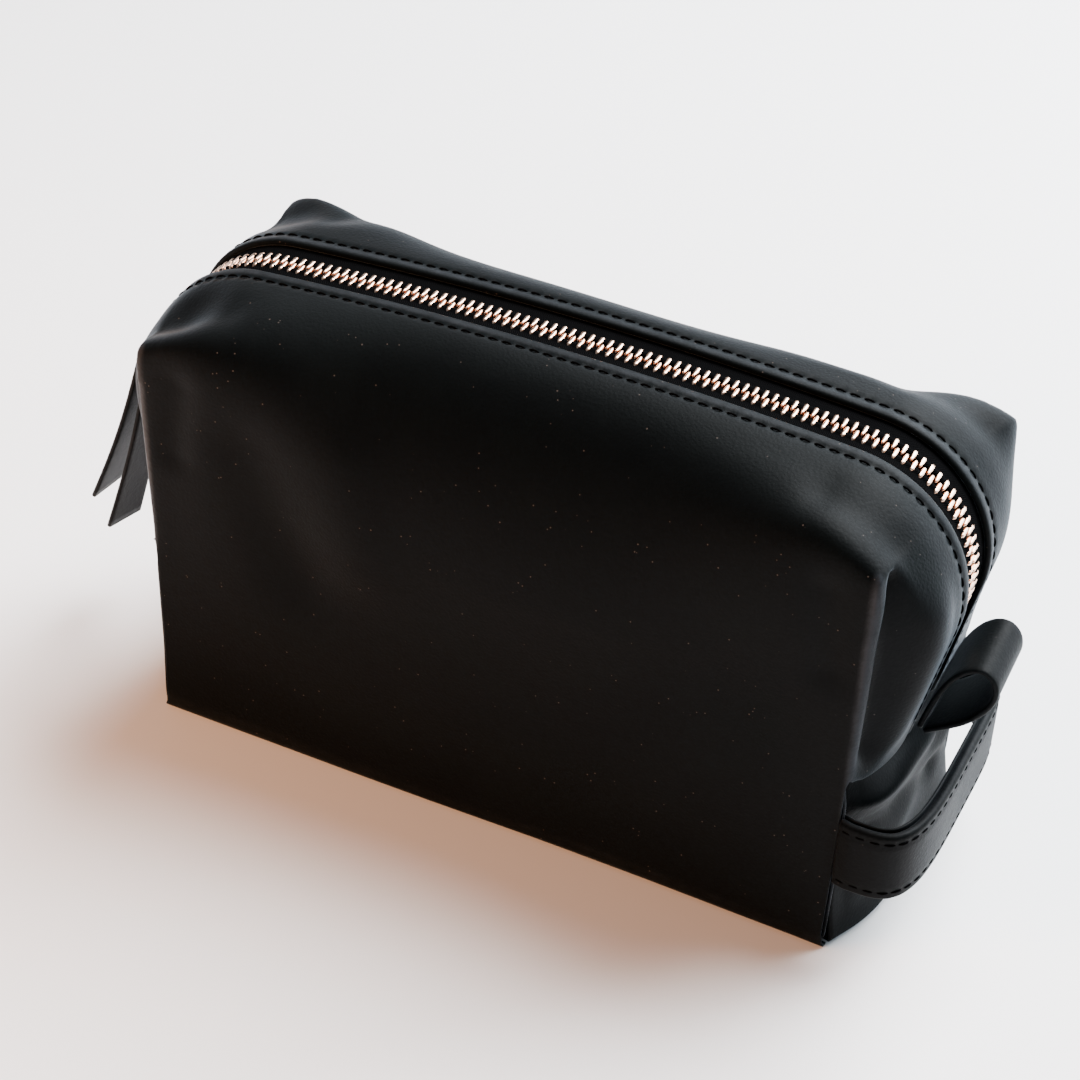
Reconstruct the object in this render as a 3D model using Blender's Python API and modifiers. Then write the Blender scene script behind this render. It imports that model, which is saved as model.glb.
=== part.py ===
"""Shaving kit bag: a boxed leather wash bag with a zip over its top, an end handle and a loop tab.

The bag stands on the plane z = 0 with its length along X, its front towards -Y and its handle
at the +X end. Lengths are in metres. Each sub-part is one object, placed in one frame.
"""
import math

import bmesh
import bpy
import numpy as np
from mathutils import Matrix, Vector

# Driving dimensions of the bag
LENGTH = 0.230                # between the vertical corner ridges, at the top
DEPTH = 0.092                 # front to back at the corners
BASE_LENGTH = 0.226
CHAIN_TOP = 0.152             # height of the zip chain at the middle of the bag
SEAM_HEIGHT = 0.067           # end seam, where it meets the corner ridges
LEATHER = 0.0016
GAP = 0.0003                  # kept between pieces that touch
BASE_ROUND = 0.005            # radius of the bottom edges
FRONT_BULGE = 0.002
MID_FALL, EAR_FALL = 0.0635, 0.010   # drop of the top from the zip to the wall
MID_WEIGHT, EAR_WEIGHT = 0.707, 6.0  # weight of the conic: soft shoulder, sharp ear
WAIST, FOOT_FLARE = 0.0025, 0.001    # lower ends, under the end seam and at the floor

# Zip route: a shallow crown arc, a shoulder arc and a straight run down the end
CROWN_RADIUS = 1.170
CROWN_RUN = 0.0935
SHOULDER_RADIUS = 0.037
LAST_LEAN = math.radians(102)  # the end runs 12 degrees past upright
STRAIGHT_RUN = 0.0427

# Zip and seam sizes across the bag
CHAIN_HALF = 0.00435
CHAIN_THICK = 0.0022
TOOTH_PITCH = 0.00297
TOOTH_OVERLAP = 0.0009        # each tooth reaches this far past the centreline
TEETH_BEFORE_SLIDER = 0.002   # the rows start this far before the slider's middle
TEETH_PAST_SHOULDER = 0.018   # and end this far down the other end
TOP_STOP_LENGTH = 0.003
STOP_CLEARANCE = 0.0006
STOP_INNER = 0.0012
BOTTOM_STOP_START, BOTTOM_STOP_END = 0.0004, 0.0044
TAPE_EDGE = 0.0155
TAPE_THICK = 0.0007
LIP = 0.0088                  # leather edge beside the zip, from the centreline
LINING_LIP = 0.0100
FLAT = 0.014                  # the leather lies flat beside the zip up to here
SKIN = 0.00225                # leather's outer face above the middle of the chain
STITCH_LINE = 0.0135
STITCH_STOP = 0.004           # the thread rows end short of the end seams
THREAD_RADIUS = 0.00035
LINING_INSET = 0.0029         # lining's outer face inside the leather's outer face
LINING_THICK = 0.0008
LINING_TUCK = 0.0012          # the lining's bottom edges stand this much further in

# Slider, ring and pull strap
SLIDER_HALF_LENGTH = 0.0065
SLIDER_HALF_WIDTH = 0.0058
PLATE_INNER = 0.0015
PLATE_OUTER = 0.0027
PLATE_BITE = 0.0004           # post and flanges run this far into the plates
POST_START, POST_END = 0.001, 0.0035  # from the slider's nose
POST_HALF = 0.0009
FLANGE_CLEARANCE = 0.0004     # between the teeth and the side flanges
FLANGE_INSET = 0.0002
BRIDGE_REACH = 0.0042
BRIDGE_HEADROOM = 0.0016      # top of the bridge above the ring's bar
BRIDGE_HALF = 0.0012
BRIDGE_THICK = 0.0011
RING_WIRE = 0.00055
RING_SEAT = 0.0039            # height of the ring's bar above the middle of the chain
RING_LENGTH = 0.0145
RING_NARROW, RING_WIDE = 0.0034, 0.0084  # half widths at the bridge and at the strap
RING_CORNER = 0.0009
RING_LEAN = math.radians(45)
PULL_WIDTH = 0.014
PULL_THICK = 0.0015
INNER_TAIL, OUTER_TAIL = (-0.1595, 0.0290), (-0.1655, 0.0400)  # (x, z) of the strap's cut ends
INNER_SAG, OUTER_SAG = 0.0020, 0.0015

# Handle and loop tab
HANDLE_HEIGHT = 0.040         # middle of the strap above the floor
HANDLE_WIDTH = 0.025
HANDLE_ROOT = 0.1168
HANDLE_REACH = 0.0180
PLY = 0.0019
EDGE_STITCH = 0.003           # handle stitches in from its edges
TAB_ROOT = (0.1233, 0.0635)
TAB_RISE = math.radians(59)
TAB_LENGTH = 0.0315
TAB_PUFF = 0.0095
TAB_WIDTH = 0.024
TAB_SEWN = 0.12               # share of the teardrop's angle hidden in the seam at each end
TAB_TAPER = 1.2
TAB_FOOT = 0.0010             # half the distance between the two sewn ends

# Grid divisions
CROWN_STEPS = 6
SHOULDER_STEPS = 4            # from the crown to the corner ear
BEND_STEPS = 4                # from the ear to the straight run
STRAIGHT_STEPS = 2
ACROSS = 5
LOWER_ROWS = 4
ROUND_STEPS = 3

SHOULDER_START = CROWN_RUN / CROWN_RADIUS
SHOULDER_RUN = (LAST_LEAN - SHOULDER_START) * SHOULDER_RADIUS
S_CORNER = CROWN_RUN + (math.radians(45) - SHOULDER_START) * SHOULDER_RADIUS
S_SLIDER = -(CROWN_RUN + (math.radians(90) - SHOULDER_START) * SHOULDER_RADIUS)
S_END = CROWN_RUN + SHOULDER_RUN + STRAIGHT_RUN

UPPER_ROWS = BEND_STEPS + STRAIGHT_STEPS
STATIONS = CROWN_STEPS + 2 * SHOULDER_STEPS

SHARP_ANGLE = math.radians(40)

LEATHER_BLACK = ((0.010, 0.010, 0.011), 0.48, 0.0)
LINING_GREY = ((0.030, 0.030, 0.034), 0.85, 0.0)
TAPE_BLACK = ((0.012, 0.012, 0.013), 0.90, 0.0)
ROSE_BRASS = ((0.86, 0.60, 0.46), 0.28, 1.0)
THREAD_BLACK = ((0.008, 0.008, 0.008), 0.70, 0.0)


def clear_scene():
    """Remove the scene's objects and make the part's collection and the cutters' one."""
    for obj in list(bpy.data.objects):
        bpy.data.objects.remove(obj, do_unlink=True)
    made = []
    for name in ("shaving_kit_bag", "cutters"):
        group = bpy.data.collections.new(name)
        bpy.context.scene.collection.children.link(group)
        made.append(group)
    return made


PARTS, CUTTERS = clear_scene()


def finish(name, mesh, look):
    """Make the named object in the part's collection, with a material of its own."""
    colour, rough, metal = look
    material = bpy.data.materials.new(name)
    material.use_nodes = True
    shader = material.node_tree.nodes["Principled BSDF"]
    shader.inputs["Base Color"].default_value = (*colour, 1.0)
    shader.inputs["Roughness"].default_value = rough
    shader.inputs["Metallic"].default_value = metal
    mesh.materials.clear()
    mesh.materials.append(material)
    mesh.shade_smooth()
    mesh.set_sharp_from_angle(angle=SHARP_ANGLE)
    obj = bpy.data.objects.new(name, mesh)
    PARTS.objects.link(obj)
    return obj


def thicken(obj, thickness, offset=-1.0, even=False):
    """Give an open surface its wall; offset -1 puts the wall behind the faces."""
    wall = obj.modifiers.new("wall", "SOLIDIFY")
    wall.thickness = thickness
    wall.offset = offset
    wall.use_even_offset = even
    return obj


def grid_faces(rows, columns):
    """Quads of a grid whose points are numbered row by row."""
    at = np.arange(rows * columns).reshape(rows, columns)
    quads = np.stack((at[:-1, :-1], at[1:, :-1], at[1:, 1:], at[:-1, 1:]), axis=-1)
    return quads.reshape(-1, 4)


def grids_to_mesh(name, grids, outward):
    """Join point grids of shape (rows, columns, 3) at their shared edges into one open mesh.

    outward is (point index, direction): the face there is turned to look along the direction.
    """
    bm = bmesh.new()
    for grid in grids:
        rows, columns = grid.shape[:2]
        verts = [bm.verts.new(point) for point in grid.reshape(-1, 3)]
        for quad in grid_faces(rows, columns):
            bm.faces.new([verts[i] for i in quad])
    bmesh.ops.remove_doubles(bm, verts=bm.verts, dist=1e-6)
    bmesh.ops.recalc_face_normals(bm, faces=bm.faces)
    spot, direction = outward
    near = min(bm.faces, key=lambda f: (f.calc_center_median() - spot).length)
    near.normal_update()
    if near.normal.dot(direction) < 0:
        bmesh.ops.reverse_faces(bm, faces=bm.faces)
    mesh = bpy.data.meshes.new(name)
    bm.to_mesh(mesh)
    bm.free()
    return mesh


def zip_path(s):
    """Points (x, z) and outward normals at distance s along the zip from the middle of the top.

    The normal's lean from upright grows along the crown arc, then along the shoulder arc,
    and stays the same down the straight run.
    """
    s = np.asarray(s, dtype=float)
    run = np.abs(s)
    crown = np.minimum(run, CROWN_RUN) / CROWN_RADIUS
    lean = crown + np.clip(run - CROWN_RUN, 0, SHOULDER_RUN) / SHOULDER_RADIUS
    straight = np.maximum(run - CROWN_RUN - SHOULDER_RUN, 0)
    x = (CROWN_RADIUS - SHOULDER_RADIUS) * np.sin(crown) + SHOULDER_RADIUS * np.sin(lean)
    x = x + straight * np.cos(lean)
    drop = (CROWN_RADIUS - SHOULDER_RADIUS) * (1 - np.cos(crown)) + SHOULDER_RADIUS * (1 - np.cos(lean))
    z = CHAIN_TOP - drop - straight * np.sin(lean)
    side = np.where(s < 0, -1.0, 1.0)
    return side * x, z, side * np.sin(lean), np.cos(lean)


def on_zip(s, y, n):
    """Points at distance s along the zip, y across it and n out from the middle of the chain."""
    x, z, nx, nz = zip_path(s)
    s, y, n = np.broadcast_arrays(s, y, n)
    return np.stack((x + nx * n, y + 0 * x, z + nz * n), axis=-1)


def top_stations():
    """Stations over the top, from ear to ear."""
    crown = np.linspace(-CROWN_RUN, CROWN_RUN, CROWN_STEPS + 1)
    shoulder = np.linspace(CROWN_RUN, S_CORNER, SHOULDER_STEPS + 1)[1:]
    return np.concatenate((-shoulder[::-1], crown, shoulder))


def end_stations():
    """Stations down the right end, from the ear to the end seam."""
    bend = np.linspace(S_CORNER, CROWN_RUN + SHOULDER_RUN, BEND_STEPS + 1)
    straight = np.linspace(CROWN_RUN + SHOULDER_RUN, S_END, STRAIGHT_STEPS + 1)[1:]
    return np.concatenate((bend, straight))


def ridge_x(z):
    """Half length of the bag at the corner ridge, which narrows slightly towards the base."""
    top = zip_path(S_CORNER)[1]
    return (BASE_LENGTH + (LENGTH - BASE_LENGTH) * np.asarray(z) / top) / 2


def side_blend(y, edge):
    """0 on the flat beside the zip, growing as a square to 1 at the given edge."""
    return np.clip((np.abs(y) - FLAT) / (edge - FLAT), 0, None) ** 2


def section(s, lip):
    """Cross-section of the bag's front half at station s: one row of points from the zip to the base.

    The top leaves the zip flat, turns down through a conic whose corner sharpens from a soft
    shoulder at mid length to an ear at the ridges, and falls to a rounded bottom edge.
    """
    near_end = abs(s) / S_CORNER
    sharp = near_end ** 4
    start = on_zip(s, FLAT, SKIN)
    side = DEPTH / 2 + FRONT_BULGE * (1 - sharp)
    fall = MID_FALL + (EAR_FALL - MID_FALL) * sharp
    weight = MID_WEIGHT + (EAR_WEIGHT - MID_WEIGHT) * sharp
    t = np.linspace(0, 1, 201)
    a, c, b = (1 - t) ** 2, 2 * weight * t * (1 - t), t ** 2
    y = (a * FLAT + (c + b) * side) / (a + b + c)
    z = start[2] - b * fall / (a + b + c)
    half = 101
    run = np.concatenate(([0], np.cumsum(np.hypot(np.diff(y[:half]), np.diff(z[:half])))))
    along = np.linspace(0, 1, ACROSS + 1)
    top_y = np.interp(along * run[-1], run, y[:half])
    top_z = np.interp(along * run[-1], run, z[:half])
    edge = top_y[-1]
    top_x = start[0] + (np.sign(s) * ridge_x(top_z[-1]) * near_end - start[0]) * side_blend(top_y, edge)
    top = np.stack((top_x, -top_y, top_z), axis=-1)
    lip_point = np.array([[start[0], -lip, start[2]]])

    shares = (end_stations() - S_CORNER) / (S_END - S_CORNER)
    upper = (top_z[-1] + (SEAM_HEIGHT - top_z[-1]) * shares)[1:]
    lower = np.linspace(SEAM_HEIGHT, BASE_ROUND, LOWER_ROWS + 1)[1:]
    wall_z = np.concatenate((upper, lower))
    down = np.append(z[half - 1:], BASE_ROUND)[::-1]
    out = np.append(y[half - 1:], DEPTH / 2)[::-1]
    wall_y = np.interp(wall_z, down, out)
    turn = np.linspace(0, math.pi / 2, ROUND_STEPS + 1)[1:]
    wall_y = np.concatenate((wall_y, wall_y[-1] - BASE_ROUND * (1 - np.cos(turn))))
    wall_z = np.concatenate((wall_z, BASE_ROUND * (1 - np.sin(turn))))
    wall_x = np.sign(s) * ridge_x(wall_z) * near_end
    wall_x = wall_x + (top_x[-1] - wall_x) * np.clip(wall_z / top_z[-1], 0, 1) ** 2
    wall = np.stack((wall_x, -wall_y, wall_z), axis=-1)
    return np.concatenate((lip_point, top)), np.concatenate((top[-1:], wall))


def end_row(x_mid, z_mid, x_edge, z_edge, y, edge):
    """One row across an end: level beside the zip, then bending back to the corner ridge."""
    bend = side_blend(y, edge)
    return np.stack((x_mid + (x_edge - x_mid) * bend, y, z_mid + (z_edge - z_mid) * bend), axis=-1)


def panel_grids(lip):
    """Point grids of one body panel (the front one): top and front, and the upper half of both ends."""
    tops, walls = zip(*(section(s, lip) for s in top_stations()))
    top, wall = np.array(tops), np.array(walls)
    grids = [top, wall]
    for side, column in ((-1, 0), (1, STATIONS)):
        rows = []
        for k, s in enumerate(end_stations()):
            share = (s - S_CORNER) / (S_END - S_CORNER)
            mid = on_zip(side * s, 0.0, SKIN)
            edge = wall[column, k]
            first = top[column]
            y = -lip + (first[:, 1] + lip) * (edge[1] + lip) / (first[-1, 1] + lip)
            row = end_row(mid[0], mid[2], edge[0], edge[2], y, abs(edge[1]))
            start, stop = first[0], first[-1]
            flat = end_row(start[0], start[2], stop[0], stop[2], first[:, 1], abs(stop[1]))
            row = row + (first - flat) * (1 - share)
            row[-1] = edge
            rows.append(row)
        grids.append(np.array(rows))
    return grids


def lower_end_mid(z):
    """Half length of the bag's lower end at its middle: a slight waist under the seam."""
    seam = on_zip(S_END, 0.0, SKIN)
    share = np.asarray(z) / seam[2]
    return seam[0] + FOOT_FLARE * (1 - share) - WAIST * np.sin(math.pi * share)


def lower_end_rows(side, y, heights, edge):
    """Rows across a lower end, from the seam down, at shares of its height from 1 to 0."""
    seam = on_zip(S_END, 0.0, SKIN)
    rows = []
    for share in heights:
        z_mid = BASE_ROUND + (seam[2] - BASE_ROUND) * share
        z_edge = BASE_ROUND + (SEAM_HEIGHT - BASE_ROUND) * share
        rows.append(end_row(side * lower_end_mid(z_mid), z_mid, side * ridge_x(z_edge), z_edge, y, edge))
    return rows


def gusset_grid():
    """Point grid of the base strip: down one end, under the bag and up the other end."""
    y = np.linspace(-1, 1, 2 * ACROSS + 3)
    half_base = DEPTH / 2 - BASE_ROUND - 4 * GAP
    half_end = DEPTH / 2 - LEATHER - GAP
    inner = BASE_ROUND - LEATHER - GAP
    rows = []
    for side in (1, -1):
        heights = np.linspace(1, 0, LOWER_ROWS + 1)
        part = lower_end_rows(side, y * half_end, heights, DEPTH / 2)
        part[0] = part[0] - np.array([0, 0, GAP])
        for turn in np.linspace(0, math.pi / 2, ROUND_STEPS + 1)[1:]:
            reach = max(0.0, 1 - (BASE_ROUND * math.sin(turn) / inner) ** 2)
            row = part[LOWER_ROWS].copy()
            row[:, 1] = y * (half_base + (half_end - half_base) * reach)
            row[:, 0] -= side * BASE_ROUND * (1 - math.cos(turn))
            row[:, 2] = BASE_ROUND * (1 - math.sin(turn))
            part.append(row)
        rows.append(part)
    right, left = rows[0], rows[1][::-1]
    under = [right[-1] + (left[0] - right[-1]) * share for share in np.linspace(0, 1, 9)[1:-1]]
    return np.array(right + under + left)


def lining_grids():
    """Grids of one half of the inner bag, before its inset: panel, lower ends and half the base."""
    grids = panel_grids(LINING_LIP)
    wall = grids[1][:, :UPPER_ROWS + LOWER_ROWS + 1].copy()
    wall[:, -1, 1] = -DEPTH / 2 + LINING_TUCK
    wall[:, -1, 2] = LINING_TUCK
    grids[1] = wall
    foot_rows = []
    for side, column, end in ((-1, 0, grids[2]), (1, STATIONS, grids[3])):
        y = end[-1, :, 1].copy()
        y[0] = -GAP / 2
        heights = np.linspace(1, 0, LOWER_ROWS + 1)
        low = np.array(lower_end_rows(side, y, heights, DEPTH / 2))
        low[-1, :, 0] -= side * LINING_TUCK
        low[-1, :, 2] = LINING_TUCK
        low[:, -1] = wall[column, UPPER_ROWS:]
        low[0, 1:] = end[-1, 1:]
        foot_rows.append(low[-1])
        grids.append(low)
    left, right = foot_rows
    floor = wall[:, -1]
    share = (floor[:, 0] - left[-1, 0]) / (right[-1, 0] - left[-1, 0])
    base = left[None] + (right - left)[None] * share[:, None, None]
    base[:, -1] = floor
    grids.append(base)
    return grids


def mirrored(grids):
    """The same grids on the other side of the zip."""
    return [grid * np.array([1.0, -1.0, 1.0]) for grid in grids]


def make_shell():
    """Front and back body panels, and the base strip with its two lower ends."""
    for name, side in (("front_panel", -1), ("back_panel", 1)):
        grids = panel_grids(LIP) if side < 0 else mirrored(panel_grids(LIP))
        outward = (Vector((0, side * DEPTH / 2, 0.06)), Vector((0, side, 0)))
        thicken(finish(name, grids_to_mesh(name, grids, outward), LEATHER_BLACK), LEATHER)
    outward = (Vector((0, 0, 0)), Vector((0, 0, -1)))
    mesh = grids_to_mesh("base_gusset", [gusset_grid()], outward)
    thicken(finish("base_gusset", mesh, LEATHER_BLACK), LEATHER)


def make_lining():
    """The inner bag's two halves, inset from the leather and open along the zip."""
    for name, side in (("front_lining", -1), ("back_lining", 1)):
        grids = lining_grids() if side < 0 else mirrored(lining_grids())
        outward = (Vector((0, side * DEPTH / 2, 0.06)), Vector((0, side, 0)))
        mesh = grids_to_mesh(name, grids, outward)
        bm = bmesh.new()
        bm.from_mesh(mesh)
        bm.normal_update()
        inset = [(v, v.normal * v.calc_shell_factor() * LINING_INSET) for v in bm.verts]
        for vert, step in inset:
            held = abs(vert.co.y) < GAP or abs(abs(vert.co.y) - LINING_LIP) < GAP
            vert.co -= Vector((step.x, 0, step.z)) if held else step
        bm.to_mesh(mesh)
        bm.free()
        thicken(finish(name, mesh, LINING_GREY), LINING_THICK)


def strip_on_zip(name, look, s, y_inner, y_outer, side, thickness):
    """A flat strip that follows the zip, centred in thickness on the middle of the chain."""
    inner = on_zip(s, side * y_inner, 0.0)
    outer = on_zip(s, side * y_outer, 0.0)
    grid = np.stack((inner, outer), axis=1)
    middle = len(s) // 2
    spot = Vector(grid[middle].mean(axis=0))
    mesh = grids_to_mesh(name, [grid], (spot, Vector((0, 0, 1))))
    return thicken(finish(name, mesh, look), thickness, offset=0.0)


def make_zip():
    """Two tapes, two rows of interlocked teeth, and the stops at both ends of the rows."""
    tape_end = S_END - 0.001
    ends = np.append(end_stations()[1:-1], tape_end)
    s_tape = np.concatenate((-ends[::-1], top_stations(), ends))
    first_tooth = S_SLIDER - TEETH_BEFORE_SLIDER
    last_tooth = -S_SLIDER + TEETH_PAST_SHOULDER
    count = int((last_tooth - first_tooth) / TOOTH_PITCH)
    s_teeth = first_tooth + np.arange(2 * count + 1) * TOOTH_PITCH / 2
    zigzag = np.where(np.arange(2 * count + 1) % 2 == 0, -1.0, 1.0) * TOOTH_OVERLAP
    for name, side in (("front", -1), ("back", 1)):
        strip_on_zip(name + "_zip_tape", TAPE_BLACK, s_tape, CHAIN_HALF + GAP, TAPE_EDGE, side, TAPE_THICK)
        edge = GAP + side * zigzag
        strip_on_zip(name + "_teeth", ROSE_BRASS, s_teeth, edge, CHAIN_HALF, side, CHAIN_THICK)
        shoulder = S_SLIDER - SLIDER_HALF_LENGTH - STOP_CLEARANCE
        s_stop = np.linspace(shoulder - TOP_STOP_LENGTH, shoulder, 3)
        strip_on_zip(name + "_top_stop", ROSE_BRASS, s_stop, STOP_INNER, CHAIN_HALF, side, CHAIN_THICK)
    s_stop = s_teeth[-1] + np.linspace(BOTTOM_STOP_START, BOTTOM_STOP_END, 3)
    strip_on_zip("bottom_stop", ROSE_BRASS, s_stop, -CHAIN_HALF, CHAIN_HALF, 1, CHAIN_THICK)


def box_mesh(name, low, high):
    """A box between two corners, as a mesh."""
    low, high = Vector(low), Vector(high)
    bm = bmesh.new()
    bmesh.ops.create_cube(bm, size=1.0)
    size = high - low
    bmesh.ops.scale(bm, vec=size, verts=bm.verts)
    bmesh.ops.translate(bm, vec=(low + high) / 2, verts=bm.verts)
    mesh = bpy.data.meshes.new(name)
    bm.to_mesh(mesh)
    bm.free()
    return mesh


def union_of(name, boxes):
    """One mesh joined from boxes with a Boolean union, built flat in (along, across, out)."""
    base = bpy.data.objects.new(name, box_mesh(name, *boxes[0]))
    CUTTERS.objects.link(base)
    pieces = [base]
    for number, box in enumerate(boxes[1:]):
        piece = bpy.data.objects.new(f"{name}_block_{number}", box_mesh(name, *box))
        CUTTERS.objects.link(piece)
        join = base.modifiers.new("join", "BOOLEAN")
        join.operation = "UNION"
        join.solver = "EXACT"
        join.object = piece
        pieces.append(piece)
    bpy.context.view_layer.update()
    shape = base.evaluated_get(bpy.context.evaluated_depsgraph_get())
    mesh = bpy.data.meshes.new_from_object(shape)
    for piece in pieces:
        bpy.data.objects.remove(piece, do_unlink=True)
    return mesh


def wrap_on_zip(mesh, s_middle, cuts):
    """Slice a flat mesh across its length and lay it on the zip's curve."""
    bm = bmesh.new()
    bm.from_mesh(mesh)
    bmesh.ops.remove_doubles(bm, verts=bm.verts, dist=1e-6)
    for along in cuts:
        everything = bm.verts[:] + bm.edges[:] + bm.faces[:]
        bmesh.ops.bisect_plane(bm, geom=everything, plane_co=(along, 0, 0), plane_no=(1, 0, 0), dist=1e-7)
    for vert in bm.verts:
        t, y, n = vert.co
        vert.co = on_zip(s_middle + t, y, n)
    bmesh.ops.recalc_face_normals(bm, faces=bm.faces)
    bm.to_mesh(mesh)
    bm.free()
    return mesh


def moving_origin(obj, point):
    """Put the object's origin on its joint's axis without moving its shape."""
    obj.data.transform(Matrix.Translation(-Vector(point)))
    obj.location = point
    return obj


def make_slider():
    """Slider of two plates on a post, with side flanges over the tapes, and the bridge on its back."""
    half, wide = SLIDER_HALF_LENGTH, SLIDER_HALF_WIDTH
    flange = CHAIN_HALF + FLANGE_CLEARANCE
    tape_room = TAPE_THICK / 2 + GAP
    boxes = []
    for low, high in ((PLATE_INNER, PLATE_OUTER), (-PLATE_OUTER, -PLATE_INNER)):
        boxes.append(((-half, -wide, low), (half, wide, high)))
    post_top = PLATE_OUTER - PLATE_BITE
    boxes.append(((-half + POST_START, -POST_HALF, -post_top), (-half + POST_END, POST_HALF, post_top)))
    ends = (-half + FLANGE_INSET, half - FLANGE_INSET)
    bite = PLATE_INNER + PLATE_BITE
    for side in (-1, 1):
        y_low, y_high = sorted((side * flange, side * (wide - FLANGE_INSET / 2)))
        boxes.append(((ends[0], y_low, tape_room), (ends[1], y_high, bite)))
        boxes.append(((ends[0], y_low, -bite), (ends[1], y_high, -tape_room)))
    hinge_x, hinge_z = slider_axis()
    cuts = np.linspace(-half, half, 7)[1:-1]
    body = finish("slider_body", wrap_on_zip(union_of("slider_body", boxes), S_SLIDER, cuts), ROSE_BRASS)
    moving_origin(body, (hinge_x, 0, hinge_z))
    foot, height = PLATE_OUTER + GAP, RING_SEAT + BRIDGE_HEADROOM
    turn = np.linspace(0, math.pi, 11)
    along = -BRIDGE_REACH * np.sign(np.cos(turn)) * np.abs(np.cos(turn)) ** 0.6
    out = foot + (height - foot) * np.sin(turn) ** 0.6
    rows = [on_zip(S_SLIDER + along, y, out) for y in (-BRIDGE_HALF, BRIDGE_HALF)]
    grid = np.stack(rows, axis=1)
    spot = Vector(grid[5].mean(axis=0))
    mesh = grids_to_mesh("slider_bridge", [grid], (spot, Vector((-1, 0, 0))))
    bridge = thicken(finish("slider_bridge", mesh, ROSE_BRASS), BRIDGE_THICK, offset=0.0)
    moving_origin(bridge, (hinge_x, 0, hinge_z))


def slider_axis():
    """Centre (x, z) of the left shoulder's arc, about which the slider rides."""
    x = -(CROWN_RADIUS - SHOULDER_RADIUS) * math.sin(SHOULDER_START)
    z = CHAIN_TOP - (CROWN_RADIUS - SHOULDER_RADIUS) * (1 - math.cos(SHOULDER_START)) - SHOULDER_RADIUS
    return x, z


def tube(name, points, radius, look, cyclic=False, sides=1):
    """A round wire or thread through points, as a mesh with welded caps."""
    data = bpy.data.curves.new(name, "CURVE")
    data.dimensions = "3D"
    data.bevel_depth = radius
    data.bevel_resolution = sides
    data.use_fill_caps = not cyclic
    spline = data.splines.new("POLY")
    spline.points.add(len(points) - 1)
    spline.points.foreach_set("co", np.column_stack((points, np.ones(len(points)))).ravel())
    spline.use_cyclic_u = cyclic
    guide = bpy.data.objects.new(name + "_guide", data)
    CUTTERS.objects.link(guide)
    bpy.context.view_layer.update()
    shape = guide.evaluated_get(bpy.context.evaluated_depsgraph_get())
    mesh = bpy.data.meshes.new_from_object(shape)
    bpy.data.objects.remove(guide, do_unlink=True)
    bm = bmesh.new()
    bm.from_mesh(mesh)
    bmesh.ops.remove_doubles(bm, verts=bm.verts, dist=1e-6)
    bmesh.ops.recalc_face_normals(bm, faces=bm.faces)
    bm.to_mesh(mesh)
    bm.free()
    return finish(name, mesh, look)


def make_pull():
    """Wire ring that hangs in the bridge, and the doubled leather strap that hangs in the ring."""
    seat = on_zip(S_SLIDER, 0.0, RING_SEAT)
    out = np.array([-math.sin(RING_LEAN), 0, -math.cos(RING_LEAN)])
    across = np.array([0.0, 1.0, 0.0])
    half_outline = [(0.0, RING_NARROW - RING_CORNER), (RING_CORNER, RING_NARROW),
                    (RING_LENGTH - 2 * RING_CORNER, RING_WIDE), (RING_LENGTH - RING_CORNER, RING_WIDE),
                    (RING_LENGTH, RING_WIDE - RING_CORNER)]
    outline = half_outline + [(u, -v) for u, v in reversed(half_outline)]
    points = np.array([seat + out * u + across * v for u, v in outline])
    ring = tube("pull_ring", points, RING_WIRE, ROSE_BRASS, cyclic=True, sides=2)
    moving_origin(ring, seat)

    bar = seat + out * RING_LENGTH
    turn_radius = RING_WIRE + GAP + PULL_THICK / 2
    inner_end = np.array([INNER_TAIL[0], 0, INNER_TAIL[1]])
    outer_end = np.array([OUTER_TAIL[0], 0, OUTER_TAIL[1]])
    wrap = np.radians(np.linspace(-15, 190, 9))
    fold = [bar + turn_radius * np.array([math.cos(a), 0, math.sin(a)]) for a in wrap]
    inner_run = [inner_end + (fold[0] - inner_end) * u + np.array([INNER_SAG * math.sin(math.pi * u), 0, 0])
                 for u in np.linspace(0, 1, 6)[:-1]]
    outer_run = [fold[-1] + (outer_end - fold[-1]) * u - np.array([OUTER_SAG * math.sin(math.pi * u), 0, 0])
                 for u in np.linspace(0, 1, 6)[1:]]
    line = np.array(inner_run + fold + outer_run)
    grid = np.stack((line - across * PULL_WIDTH / 2, line + across * PULL_WIDTH / 2), axis=1)
    spot = Vector(fold[4])
    mesh = grids_to_mesh("pull_strap", [grid], (spot, Vector((0, 0, 1))))
    strap = thicken(finish("pull_strap", mesh, LEATHER_BLACK), PULL_THICK, offset=0.0, even=True)
    moving_origin(strap, bar)


def handle_path(out, count=25):
    """Plan of the handle strap, a squarish bow between the corner seams, moved out by a distance."""
    turn = np.linspace(-math.pi / 2, math.pi / 2, count)
    x = HANDLE_ROOT + (HANDLE_REACH + out) * np.sqrt(np.abs(np.cos(turn)))
    y = (DEPTH / 2 + out) * np.sign(turn) * np.sqrt(np.abs(np.sin(turn)))
    return x, y


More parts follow.
